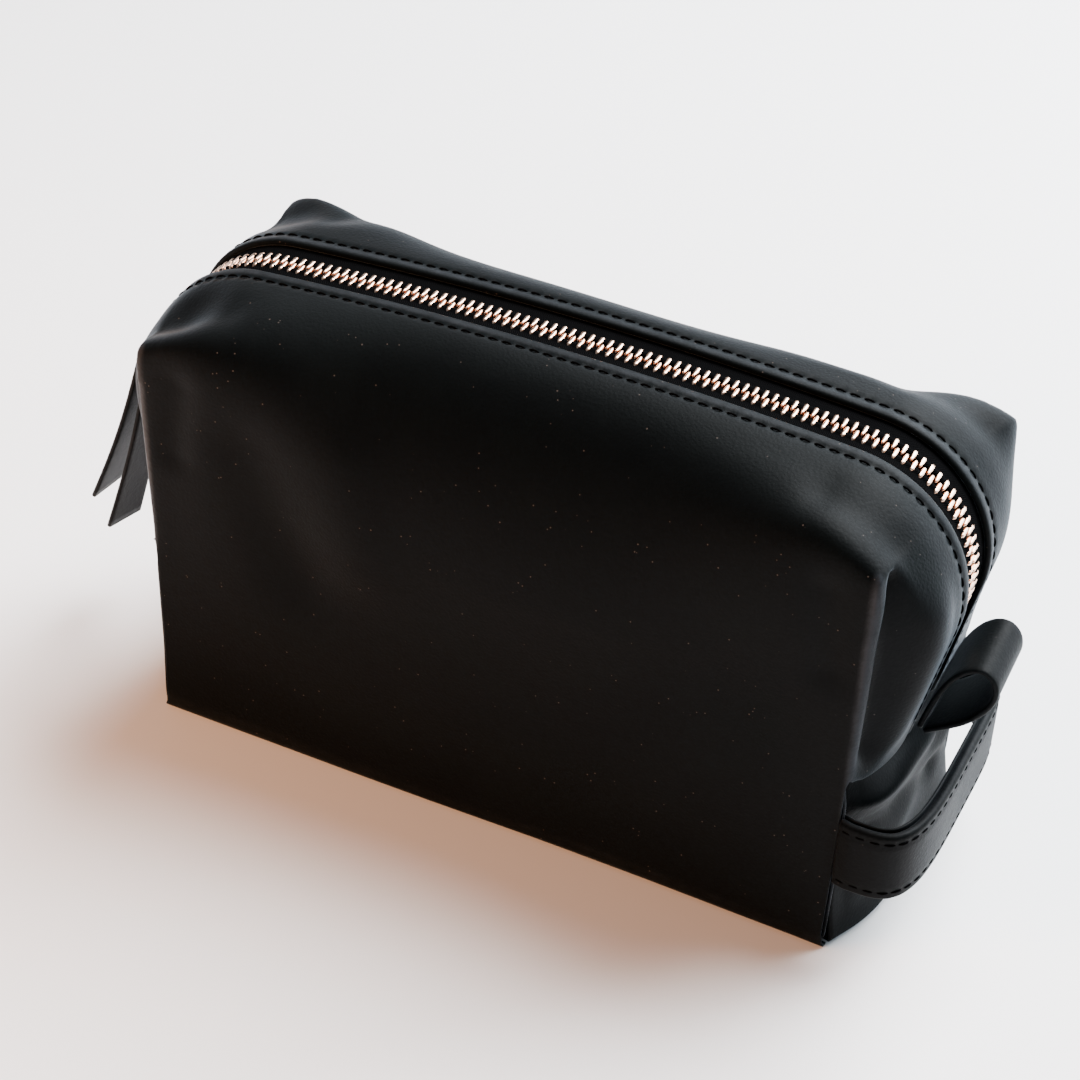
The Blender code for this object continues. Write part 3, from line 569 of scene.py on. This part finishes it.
def woven(name, thread, gap, fine, rough):
    """Plain weave: two crossed sine ripples of thread over a darker gap."""
    material, shader, wire = new_material(name)
    place = wire.node("TexCoord", out="Object")
    split = place.tree.nodes.new("ShaderNodeSeparateXYZ")
    place.tree.links.new(place.socket, split.inputs[0])
    x, y, z = (Wire(place.tree, split.outputs[n]) for n in range(3))
    warp = wire.reckon("SINE", (x + z) * fine)
    weft = wire.reckon("SINE", (y + z * 0.5) * fine)
    raised = warp * weft * 0.5 + 0.5
    fuzz = wire.node("TexNoise", None, {"Vector": place, "Scale": 900.0, "Detail": 3.0})
    colour = (raised * 0.7 + fuzz * 0.3).mix((*gap, 1), (*thread, 1))
    bump = wire.node("Bump", None, {"Height": raised + fuzz * 0.5, "Strength": 0.5, "Distance": 0.0002})
    feed(shader, Base_Color=colour, Roughness=rough + fuzz * 0.1, Normal=bump, Specular_IOR_Level=0.2)
    return material


lining_cloth = woven("lining_drill", (0.045, 0.045, 0.050), (0.020, 0.020, 0.023), 5200.0, 0.85)
hem = len(hem_columns()[0])
for panel, side in (("front", -1), ("back", 1)):
    grids, runs = panel_grids()
    columns = (slice(hem, None), slice(None), slice(hem, None), slice(hem, None))
    grids = [g[::2, c] * np.array([1.0, -side, 1.0]) for g, c in zip(grids, columns)]
    runs = [r[::2, c] for r, c in zip(runs, columns)]
    shape = sheet_mesh(panel + "_drill", grids, runs, ((0, side * half_depth, 0.06), (0, side, 0)))
    soften_panel(shape, side, folded=False)
    points, normals, runs = read_points(shape)
    points = points - normals * lining_gap
    points[:, 0] -= np.sign(points[:, 0]) * end_inset * ease(np.abs(points[:, 0]), 0.088, 0.112)
    points[:, 1] = np.clip(points[:, 1], lining_gap - half_depth, half_depth - lining_gap)
    write_points(shape, points)
    piece = wall(place_piece(panel + "_lining_cloth", shape, lining_cloth), lining_thick)
    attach(piece, "shell")
    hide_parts(panel + "_lining")


# Base gusset. One leather strip, up the left end, under the bag and up the right end, sewn in
# under the panels' edges; its ends have a waist, slanting folds and a seam down the back edge.
gusset_tuck = 0.0022
end_seam = on_zip(s_end, 0.0, skin)


def gusset_grid():
    """Half length from a waist formula at the middle and the corner ridge at the edges, then a
    quarter round and the flat underside."""
    y = np.linspace(-1, 1, 61)[None]
    half_end, half_base = half_depth - gusset_tuck, half_depth - base_round - 0.0012
    share = np.linspace(1.06, 0, 60)[:, None]
    z_mid = base_round + (end_seam[2] - base_round) * share
    z_edge = base_round + (seam_height - base_round) * share
    part = z_mid / end_seam[2]
    x_mid = (end_seam[0] - 0.0022 + 0.0022 * (1 - part) + 0.0020 * np.sin(math.pi * part ** 3)
             + 0.0036 * (1 - part) ** 4)
    bent = bend_share(y * half_end, half_depth)
    x = x_mid + (ridge_half(z_edge) - 0.0026 + 0.0030 * (1 - part) ** 4 - x_mid) * bent
    z = z_mid + (z_edge - z_mid) * bent
    turn = np.linspace(0, math.pi / 2, 8)[1:, None]
    narrow = half_end + (half_base - half_end) * np.sin(turn) ** 2
    x = np.concatenate((x, x[-1:] - base_round * (1 - np.cos(turn))))
    z = np.concatenate((z, base_round * (1 - np.sin(turn)) + 0 * y))
    across = np.concatenate((0 * share + half_end, narrow)) * y
    right = np.stack((x, across, z), -1)
    left = (right * np.array([-1.0, 1.0, 1.0]))[::-1]
    reach = np.linspace(0, 1, 42)[1:-1, None, None]
    under = right[-1][None] + (left[0] - right[-1])[None] * reach
    return np.concatenate((right, under, left))


def soften_gusset(mesh):
    """Slanting folds from the handle's roots and under the end seam, a seam groove and slow ripples."""
    points, normals, runs = read_points(mesh)
    x, y, z = points.T
    end = (np.abs(x) > 0.105) * ease(z, 0.004, 0.014)
    move = 0.0010 * ripple(points, 0.016, 21) * end
    beside = np.stack((np.abs(x), y, z), axis=1)
    inner = end * ease(half_depth - np.abs(y), 0.001, 0.006)
    move -= inner * crease(beside, (0.118, -0.034, 0.064), (0.117, 0.004, 0.052), 0.0036, 0.0028)
    move += inner * crease(beside, (0.118, -0.040, 0.054), (0.117, 0.012, 0.041), 0.0042, 0.0030)
    move -= inner * crease(beside, (0.118, -0.042, 0.040), (0.117, 0.020, 0.022), 0.0046, 0.0030)
    move += inner * crease(beside, (0.118, -0.030, 0.018), (0.117, 0.034, 0.030), 0.0060, 0.0016)
    seam = np.exp(-((np.abs(y) - 0.0388) / 0.0008) ** 2) * end
    move -= 0.0004 * seam
    points = settle(points + normals * move[:, None])
    points[:, 2] = np.maximum(points[:, 2], 0.00005)
    # rub: a paler foot and seam line, rubbed wear with a painted sheen.
    write_points(mesh, points, rub=0.25 * np.exp(-((z - 0.004) / 0.004) ** 2) + 0.2 * seam)


grid = gusset_grid()
shape = sheet_mesh("gusset_skin", [grid], [grid[..., 0] * 0], ((0, 0, 0), (0, 0, -1)))
soften_gusset(shape)
gusset_leather = waxed_leather("gusset_leather", (0.0009, 0.0013, 0.0013), (0.012, 0.013, 0.015),
                               rough=0.60, specks=0.25, sheen=0.02)
gusset = wall(place_piece("base_gusset_leather", shape, gusset_leather), leather_thick)
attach(gusset, "shell")
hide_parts("base_gusset")


# Thread. Waxed black cotton in saddle stitches, each a bow whose two ends dive into the leather:
# a row along each edge of the zip opening.
thread_radius = 0.00034
stitch_length = 0.0033


def lofts(name, rings, ringed=False, **attributes):
    """Bodies from rings of points, shaped (body, ring, side, xyz); ends capped, or joined in a ring."""
    bodies, count, sides = rings.shape[:3]
    at = np.arange(bodies * count * sides).reshape(bodies, count, sides)
    after = np.roll(at, -1, axis=1) if ringed else at[:, 1:]
    before = at if ringed else at[:, :-1]
    quads = np.stack((before, after, np.roll(after, -1, 2), np.roll(before, -1, 2)), -1).reshape(-1, 4)
    faces = quads.tolist()
    if not ringed:
        faces += at[:, 0].tolist() + at[:, -1, ::-1].tolist()
    mesh = bpy.data.meshes.new(name)
    mesh.from_pydata(rings.reshape(-1, 3).tolist(), [], faces)
    for key, values in attributes.items():
        store = mesh.attributes.new(key, "FLOAT", "POINT")
        store.data.foreach_set("value", np.broadcast_to(values, rings.shape[:3]).ravel().astype(np.float32))
    bm = bmesh.new()
    bm.from_mesh(mesh)
    bmesh.ops.recalc_face_normals(bm, faces=bm.faces)
    bm.to_mesh(mesh)
    bm.free()
    return mesh


def unit(vectors):
    """The vectors at length one."""
    return vectors / np.linalg.norm(vectors, axis=-1, keepdims=True)


def stitch_row(name, middle, along, out, length=None):
    """Threads at points: centre rises by sin(pi t)^0.5 and radius by 0.6 + 0.4 sin(pi t) over each."""
    length = stitch_length if length is None else length
    t = np.linspace(0, 1, 7)[None, :, None, None]
    turn = np.linspace(0, 2 * math.pi, 6, endpoint=False)[None, None, :, None]
    middle, along, out = (v[:, None, None, :] for v in (middle, unit(along), unit(out)))
    beside = np.cross(along, out)
    bow = np.sqrt(np.clip(np.sin(math.pi * t), 0, 1))
    centre = middle + along * (t - 0.5) * length + out * (bow * 1.2 * thread_radius - 1.2 * thread_radius)
    thick = thread_radius * (0.6 + 0.4 * bow)
    return lofts(name, centre + thick * (beside * np.cos(turn) + out * np.sin(turn)))


def waxed_thread():
    """Black waxed thread, faintly fuzzy."""
    material, shader, wire = new_material("black_thread")
    place = wire.node("TexCoord", out="Object")
    fuzz = wire.node("TexNoise", None, {"Vector": place, "Scale": 1800.0, "Detail": 2.0})
    bump = wire.node("Bump", None, {"Height": fuzz, "Strength": 0.4, "Distance": 0.0002})
    colour = fuzz.mix((0.0006, 0.0006, 0.0006, 1), (0.0020, 0.0020, 0.0020, 1))
    feed(shader, Base_Color=colour, Roughness=0.80 + fuzz * 0.1, Normal=bump, Specular_IOR_Level=0.01)
    return material


def outward_at(s):
    """Normals and tangents of the zip line at runs s."""
    x, z, nx, nz = zip_line(s)
    return np.stack((nx, 0 * s, nz), -1), np.stack((nz, 0 * s, -nx), -1)


thread = waxed_thread()
rows = int((s_end - 0.004) / stitch_pitch)
s_stitch = (np.arange(-rows, rows) + 0.5) * stitch_pitch
out, along = outward_at(s_stitch)
for row, side in (("front_topstitch", -1), ("back_topstitch", 1)):
    shape = stitch_row(row + "_bows", on_zip(s_stitch, side * stitch_line, skin), along, out)
    piece = place_piece(row + "_thread", shape, thread)
    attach(piece, "shell")
    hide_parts(row)


# Zip. Black herringbone tapes with a corded edge, and cast rose-gold teeth clamped on the cords:
# the back row's teeth have a round foot and a thin tip, the front row's are long ovals.
tape_edge = 0.0155
tape_half = 0.00035
chain_half = 0.00435
tooth_pitch = 0.00297
tooth_half = 0.0011
first_tooth = s_slider - 0.002
last_tooth = 0.018 - s_slider


def zip_cloth():
    """Herringbone tape: fine ripples along the run that turn with the distance from the teeth."""
    material, shader, wire = new_material("zip_tape_cloth")
    place = wire.node("TexCoord", out="Object")
    run = wire.node("Attribute", {"attribute_name": "run"}, out="Fac")
    across = wire.node("Attribute", {"attribute_name": "across"}, out="Fac")
    slant = wire.reckon("PINGPONG", across, 0.0016)
    ridge = wire.reckon("SINE", (run + slant * 0.8) * 9000.0) * 0.5 + 0.5
    fuzz = wire.node("TexNoise", None, {"Vector": place, "Scale": 1500.0, "Detail": 2.0})
    colour = (ridge * 0.6 + fuzz * 0.4).mix((0.0005, 0.0005, 0.0006, 1), (0.0022, 0.0022, 0.0024, 1))
    bump = wire.node("Bump", None, {"Height": ridge + fuzz * 0.6, "Strength": 0.6, "Distance": 0.0002})
    feed(shader, Base_Color=colour, Roughness=0.88 + fuzz * 0.1, Normal=bump, Specular_IOR_Level=0.01)
    return material


def rose_gold(name):
    """Rose-gold plate with painted light: a pale painted highlight on the outward faces and darker copper as
    painted shade on the flanks.
    """
    material, shader, wire = new_material(name)
    place = wire.node("TexCoord", out="Object")
    face = wire.node("Attribute", {"attribute_name": "face"}, out="Fac")
    tone = wire.node("TexNoise", None, {"Vector": place, "Scale": 420.0, "Detail": 2.0})
    scratch = wire.node("TexNoise", None, {"Vector": place, "Scale": 3000.0, "Detail": 3.0})
    shaded_copper = tone.mix((0.42, 0.17, 0.08, 1), (0.66, 0.32, 0.17, 1))
    pale = tone.mix((0.86, 0.52, 0.36, 1), (0.97, 0.70, 0.54, 1))
    bump = wire.node("Bump", None, {"Height": scratch, "Strength": 0.15, "Distance": 0.0001})
    # Painted highlight and shade: the face attribute picks pale where a part faces outward and shaded copper
    # on its flanks.
    colour = face.step(0.25, 0.95).mix(shaded_copper, pale)
    feed(shader, Base_Color=colour, Metallic=1.0, Roughness=0.20 + scratch * 0.16, Normal=bump)
    return material


def tape_rings(side):
    """Section of a tape: flat, then a swell of cosine shape at the corded edge, carried along the run."""
    s = np.linspace(-(s_end - 0.001), s_end - 0.001, 460)[:, None]
    y = np.concatenate((np.linspace(tape_edge, 0.0044, 6), np.linspace(0.0040, 0.0016, 8)))
    swell = tape_half + 0.0005 * np.clip(np.cos((y - 0.0027) / 0.0012 * math.pi / 2), 0, 1)
    y_loop = np.concatenate((y, [0.0014], y[::-1]))[None]
    n_loop = np.concatenate((swell, [0.0], -swell[::-1]))[None]
    return on_zip(s, side * y_loop, n_loop)[None], s + 0 * y_loop, y_loop + 0 * s


def tooth_rings(side, s_middle):
    """Teeth lofted from foot to tip: half width 0.76 sqrt(1 - |2t - 1|^2.8) mm (1 + bulb cos(pi t)),
    section a rounded box, both thinning to the ends."""
    t = np.linspace(0.012, 0.988, 9)[None, :, None]
    turn = np.linspace(0, 2 * math.pi, 10, endpoint=False)[None, None, :]
    bulb = 0.34 if side > 0 else 0.10
    oval = np.sqrt(1 - np.abs(2 * t - 1) ** 2.8)
    half = 0.00076 * oval * (1 + bulb * np.cos(math.pi * t))
    high = tooth_half * (1 - np.abs(2 * t - 1) ** 5) ** 0.4 * (0.92 + 0.08 * np.cos(2 * math.pi * t))
    y = side * (chain_half - t * (chain_half + 0.0010))
    a = half * np.sign(np.cos(turn)) * np.abs(np.cos(turn)) ** 0.7
    n = high * np.sign(np.sin(turn)) * np.abs(np.sin(turn)) ** 0.7
    # face: 1 on each tooth's outward face and 0 on its flanks and underside; it places the painted highlight
    # and shade of the rose gold.
    face = np.clip(np.sin(turn), 0, 1) ** 2 + 0 * t
    return on_zip(s_middle[:, None, None] + a, y + 0 * a, n), face


def block_rings(s_low, s_high, y_low, y_high, thick):
    """A stop: rings along the run, a rounded box section that shrinks to the ends."""
    t = np.linspace(-0.97, 0.97, 9)[:, None]
    turn = np.linspace(0, 2 * math.pi, 16, endpoint=False)[None]
    round_off = (1 - np.abs(t) ** 4) ** 0.5
    s = (s_low + s_high) / 2 + t * (s_high - s_low) / 2
    shape_y = np.sign(np.cos(turn)) * np.abs(np.cos(turn)) ** 0.5
    shape_n = np.sign(np.sin(turn)) * np.abs(np.sin(turn)) ** 0.5
    y = (y_low + y_high) / 2 + (y_high - y_low) / 2 * shape_y * (0.8 + 0.2 * round_off)
    return on_zip(s + 0 * turn, y, thick * shape_n * (0.7 + 0.3 * round_off))[None]


tape_cloth = zip_cloth()
gold = rose_gold("rose_gold_plate")
count = int((last_tooth - first_tooth) / tooth_pitch)
for row, side in (("front", -1), ("back", 1)):
    rings, run, across = tape_rings(side)
    shape = lofts(row + "_tape_weave", rings, run=run[None], across=across[None])
    tape = place_piece(row + "_zip_tape_cloth", shape, tape_cloth)
    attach(tape, "shell")
    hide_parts(row + "_zip_tape")
    s_teeth = first_tooth + (np.arange(count) + (0.5 if side > 0 else 0.0)) * tooth_pitch
    rings, face = tooth_rings(side, s_teeth)
    teeth = place_piece(row + "_cast_teeth", lofts(row + "_tooth_row", rings, face=face), gold)
    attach(teeth, "shell")
    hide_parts(row + "_teeth")
    stop_end = s_slider - 0.0065 - 0.0006
    edges = sorted((side * 0.0014, side * chain_half))
    rings = block_rings(stop_end - 0.003, stop_end, edges[0], edges[1], tooth_half)
    stop = place_piece(row + "_top_stop_block", lofts(row + "_stop_shape", rings, face=1.0), gold)
    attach(stop, "shell")
    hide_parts(row + "_top_stop")
rings = block_rings(last_tooth + 0.0002, last_tooth + 0.0042, -chain_half, chain_half, tooth_half)
stop = place_piece("bottom_stop_block", lofts("bottom_stop_shape", rings, face=1.0), gold)
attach(stop, "shell")
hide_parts("bottom_stop")


# Slider, bridge and ring. Cast rose-gold slider of two shaped plates with side flanges on a wedge
# post, a bent bridge on its face, and a wire ring that hangs in the bridge.
slider_half = 0.0065
slider_wide = 0.0058
plate_in, plate_out = 0.0015, 0.0027
ring_seat = 0.0039
ring_wire = 0.00055
ring_length = 0.0145
ring_lean = math.radians(45)


def slab_rings(s_low, s_high, y_low, y_high, n_low, n_high, taper=0.0):
    """A rounded slab on the zip line: superellipse sections, plan narrowed by taper towards the tail."""
    t = np.linspace(-0.985, 0.985, 11)[:, None]
    turn = np.linspace(0, 2 * math.pi, 20, endpoint=False)[None]
    shape_y = np.sign(np.cos(turn)) * np.abs(np.cos(turn)) ** 0.35
    shape_n = np.sign(np.sin(turn)) * np.abs(np.sin(turn)) ** 0.35
    end = (1 - np.abs(t) ** 6) ** 0.5
    wide = (y_high - y_low) / 2 * (0.72 + 0.28 * end) * (1 - taper * (t + 1) / 2)
    y = (y_low + y_high) / 2 + wide * shape_y
    n = (n_low + n_high) / 2 + (n_high - n_low) / 2 * shape_n * (0.8 + 0.2 * end)
    return on_zip((s_low + s_high) / 2 + t * (s_high - s_low) / 2 + 0 * turn, y, n)


def swept(line, across, width, thick, edge, columns=12):
    """A strap along a line: half-ellipse edges of reach edge, flat faces between, square-cut ends."""
    turn = np.linspace(-math.pi / 2, math.pi / 2, 7)
    flat_u = np.linspace(width / 2 - edge, edge - width / 2, columns)[1:-1]
    u = np.concatenate((width / 2 - edge + edge * np.cos(turn), flat_u,
                        edge - width / 2 - edge * np.cos(turn), -flat_u))
    v = np.concatenate((thick / 2 * np.sin(turn), 0 * flat_u + thick / 2,
                        -thick / 2 * np.sin(turn), 0 * flat_u - thick / 2))
    across = unit(np.broadcast_to(np.asarray(across, float), line.shape))
    tangent = unit(np.gradient(line, axis=0))
    out = unit(np.cross(tangent, across))
    return line[:, None] + across[:, None] * u[:, None] + out[:, None] * v[:, None], u, v


def even_steps(line, count):
    """The same line with its points at equal distances along it."""
    length = np.append(0, np.cumsum(np.linalg.norm(np.diff(line, axis=0), axis=1)))
    at = np.linspace(0, length[-1], count)
    return np.stack([np.interp(at, length, line[:, axis]) for axis in range(3)], axis=-1)


low, high = s_slider - slider_half, s_slider + slider_half
parts = [slab_rings(low, high, -slider_wide, slider_wide, plate_in, plate_out, 0.18),
         slab_rings(low, high, -slider_wide, slider_wide, -plate_out, -plate_in, 0.18),
         slab_rings(low + 0.001, low + 0.0035, -0.0009, 0.0009, -plate_out + 0.0004, plate_out - 0.0004)]
for side in (-1, 1):
    edges = sorted((side * (chain_half + 0.0004), side * slider_wide * 0.93))
    parts.append(slab_rings(low + 0.0004, high - 0.0009, *edges, 0.0007, plate_in + 0.0004))
    parts.append(slab_rings(low + 0.0004, high - 0.0009, *edges, -plate_in - 0.0004, -0.0007))
body = place_piece("slider_cast_body", lofts("slider_cast_shape", np.array(parts), face=0.8), gold)
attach(body, "slider")
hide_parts("slider_body")

turn = np.linspace(0, math.pi, 25)
lean = np.sign(np.cos(turn)) * np.abs(np.cos(turn)) ** 0.6
height = plate_out + 0.0002 + (ring_seat + 0.0014 - plate_out) * np.sin(turn) ** 0.6
rings, u, v = swept(on_zip(s_slider - 0.0042 * lean, 0.0, height), (0, 1, 0), 0.0024, 0.0010, 0.0004, 4)
bridge = place_piece("slider_bent_bridge", lofts("slider_bridge_shape", rings[None], face=0.8), gold)
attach(bridge, "slider")
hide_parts("slider_bridge")

seat = on_zip(s_slider, 0.0, ring_seat)
hang = np.array([-math.sin(ring_lean), 0, -math.cos(ring_lean)])
turn = np.linspace(0, 2 * math.pi, 64, endpoint=False)
reach = 0.5 - 0.5 * np.sign(np.cos(turn)) * np.abs(np.cos(turn)) ** 0.55
spread = (0.0026 + 0.0056 * ease(reach, 0.0, 0.9)) * np.sign(np.sin(turn)) * np.abs(np.sin(turn)) ** 0.45
loop = seat + hang * ring_length * reach[:, None] + np.array([0, 1.0, 0]) * spread[:, None]
tangent = unit(np.roll(loop, -1, 0) - np.roll(loop, 1, 0))
face_out = np.cross(hang, [0, 1.0, 0])
beside = unit(np.cross(tangent, face_out))
angle = np.linspace(0, 2 * math.pi, 10, endpoint=False)[None, :, None]
rings = loop[:, None] + ring_wire * (beside[:, None] * np.cos(angle) + face_out * np.sin(angle))
ring = place_piece("pull_wire_ring", lofts("pull_ring_shape", rings[None], ringed=True, face=0.8), gold)
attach(ring, "ring")
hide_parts("pull_ring")


# Pull strap. A narrow leather strap doubled over the ring's bar, with two square-cut tails.
pull_width = 0.014
pull_thick = 0.0015
strap_leather = waxed_leather("strap_leather", (0.0012, 0.0015, 0.0015), (0.018, 0.020, 0.022),
                              rough=0.52, specks=0.25, sheen=0.02)


def strap_piece(name, rings, u, v, width):
    """A swept strap with pale edges: rubbed wear with a painted sheen."""
    rub = np.clip((np.abs(u) - width / 2 + 0.0012) / 0.0012, 0, 1) * 0.5
    return place_piece(name, lofts(name + "_shape", rings[None], rub=rub[None, None]), strap_leather)


bar = seat + hang * ring_length
wrap = np.radians(np.linspace(-15, 190, 24))[:, None]
fold = bar + (ring_wire + 0.0003 + pull_thick / 2) * np.concatenate((np.cos(wrap), 0 * wrap, np.sin(wrap)), 1)
u = np.linspace(0, 1, 26)[:, None]
inner_end, outer_end = np.array([-0.1595, 0, 0.0290]), np.array([-0.1655, 0, 0.0400])
sag = np.sin(math.pi * u) * np.array([[0.0012, 0, 0]])
inner = inner_end + (fold[0] - inner_end) * u + sag
outer = fold[-1] + (outer_end - fold[-1]) * u + 1.1 * sag
line = np.concatenate((inner[:-1], fold, outer[1:]))
twist = np.concatenate((0.28 * (1 - u[:-1]) ** 1.2, 0 * wrap, 0.10 * u[1:]))
across = np.concatenate((twist, 0 * twist + 1, 0 * twist), 1)
rings, u, v = swept(line, across, pull_width, pull_thick, 0.0005)
strap = strap_piece("pull_leather", rings, u, v, pull_width)
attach(strap, "pull")
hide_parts("pull_strap")


# Handle. Two plies of leather sewn face to face along both edges, let into the two right-hand
# corner seams.
handle_height = 0.040
handle_width = 0.025
handle_root, handle_reach = 0.1168, 0.0180


def handle_line(out, count):
    """Plan of the bow: root of cosine (a higher power behind) and root of sine, moved out."""
    turn = np.linspace(-math.pi / 2, math.pi / 2, 400)
    x = handle_root + (handle_reach + out) * np.abs(np.cos(turn)) ** (0.5 + 0.7 * ease(turn, 0, 0.6))
    y = (half_depth + out) * np.sign(turn) * np.sqrt(np.abs(np.sin(turn)))
    line = np.stack((x, y, 0 * x + handle_height), -1)
    tuck = np.array([[-0.0035, 0.0008, 0]])
    line = np.concatenate((line[:1] + tuck, line, line[-1:] + tuck * [[1, -1, 1]]))
    return even_steps(line, count)


def bend_at_root(piece, node):
    """Bake the piece's placement into its mesh and hide the CAD part it stands for."""
    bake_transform(piece)
    if node:
        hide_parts(node)


for node, offset, thick in (("handle_outer", 0.0005, 0.0031), ("handle_inner", -0.0016, 0.0011)):
    line = handle_line(offset, 150)
    rings, u, v = swept(line, (0, 0, 1), handle_width, thick, 0.45 * thick, 22)
    row = np.abs(np.abs(u) - (handle_width / 2 - 0.003))
    squeeze = 1 - 0.22 * np.exp(-(row / 0.0008) ** 2) - 0.10 * ease(np.abs(u), 0.0090, 0.0120)
    out = unit(np.cross(unit(np.gradient(line, axis=0)), np.array([0, 0, 1.0])))
    rings = rings + out[:, None] * (v * (squeeze - 1))[None, :, None]
    piece = strap_piece(node + "_leather", rings, u, v, handle_width)
    bend_at_root(piece, node)
for node, lift in (("handle_stitch_upper", 1), ("handle_stitch_lower", -1)):
    both = []
    for side, face in ((1, 0.0018), (-1, -0.0021)):
        line = handle_line(face, 400)
        length = np.linalg.norm(np.diff(line, axis=0), axis=1).sum()
        line = even_steps(line, 2 * int(length / stitch_pitch) + 1)
        tangent = unit(np.gradient(line, axis=0))
        out = side * np.cross(tangent, np.array([0, 0, 1.0]))
        spots = line[1::2] + np.array([0, 0, lift * (handle_width / 2 - 0.003)])
        both.append((spots, tangent[1::2], out[1::2]))
    spots, tangent, out = (np.concatenate([b[n] for b in both]) for n in range(3))
    piece = place_piece(node + "_thread", stitch_row(node + "_bows", spots, tangent, out), thread)
    bend_at_root(piece, node)


# Loop tab. One ply folded back on itself in a teardrop and sewn into the right end seam.
tab_root = (0.1233, 0.0, 0.0635)
tab_rise = math.radians(60)
tab_length, tab_puff, tab_width, tab_thick = 0.0315, 0.0090, 0.024, 0.0017
tab_turn = np.array([-0.02, 0.99, 0.06])
inner_share = 0.75

t = np.linspace(0.10, 2 * math.pi - 0.10, 160)
u = tab_length * (1 - np.cos(t)) / 2
w = tab_puff * np.sin(t) * np.abs(np.sin(t / 2)) ** 1.2
w = np.where(w > 0, inner_share, 1.0) * w + 0.0010 * np.cos(t / 2)
along = np.array([math.cos(tab_rise), 0, math.sin(tab_rise)])
beside = np.array([-math.sin(tab_rise), 0, math.cos(tab_rise)])
line = even_steps(np.array(tab_root) + u[:, None] * along + w[:, None] * beside, 90)
lift = ease((line - np.array(tab_root)) @ along, 0.0, 0.014)[:, None]
across = np.array([0, 1.0, 0]) * (1 - lift) + tab_turn * lift
rings, u, v = swept(line, across, tab_width, tab_thick, 0.0007, 16)
loop = strap_piece("loop_tab_leather", rings, u, v, tab_width)
bend_at_root(loop, "loop_tab")
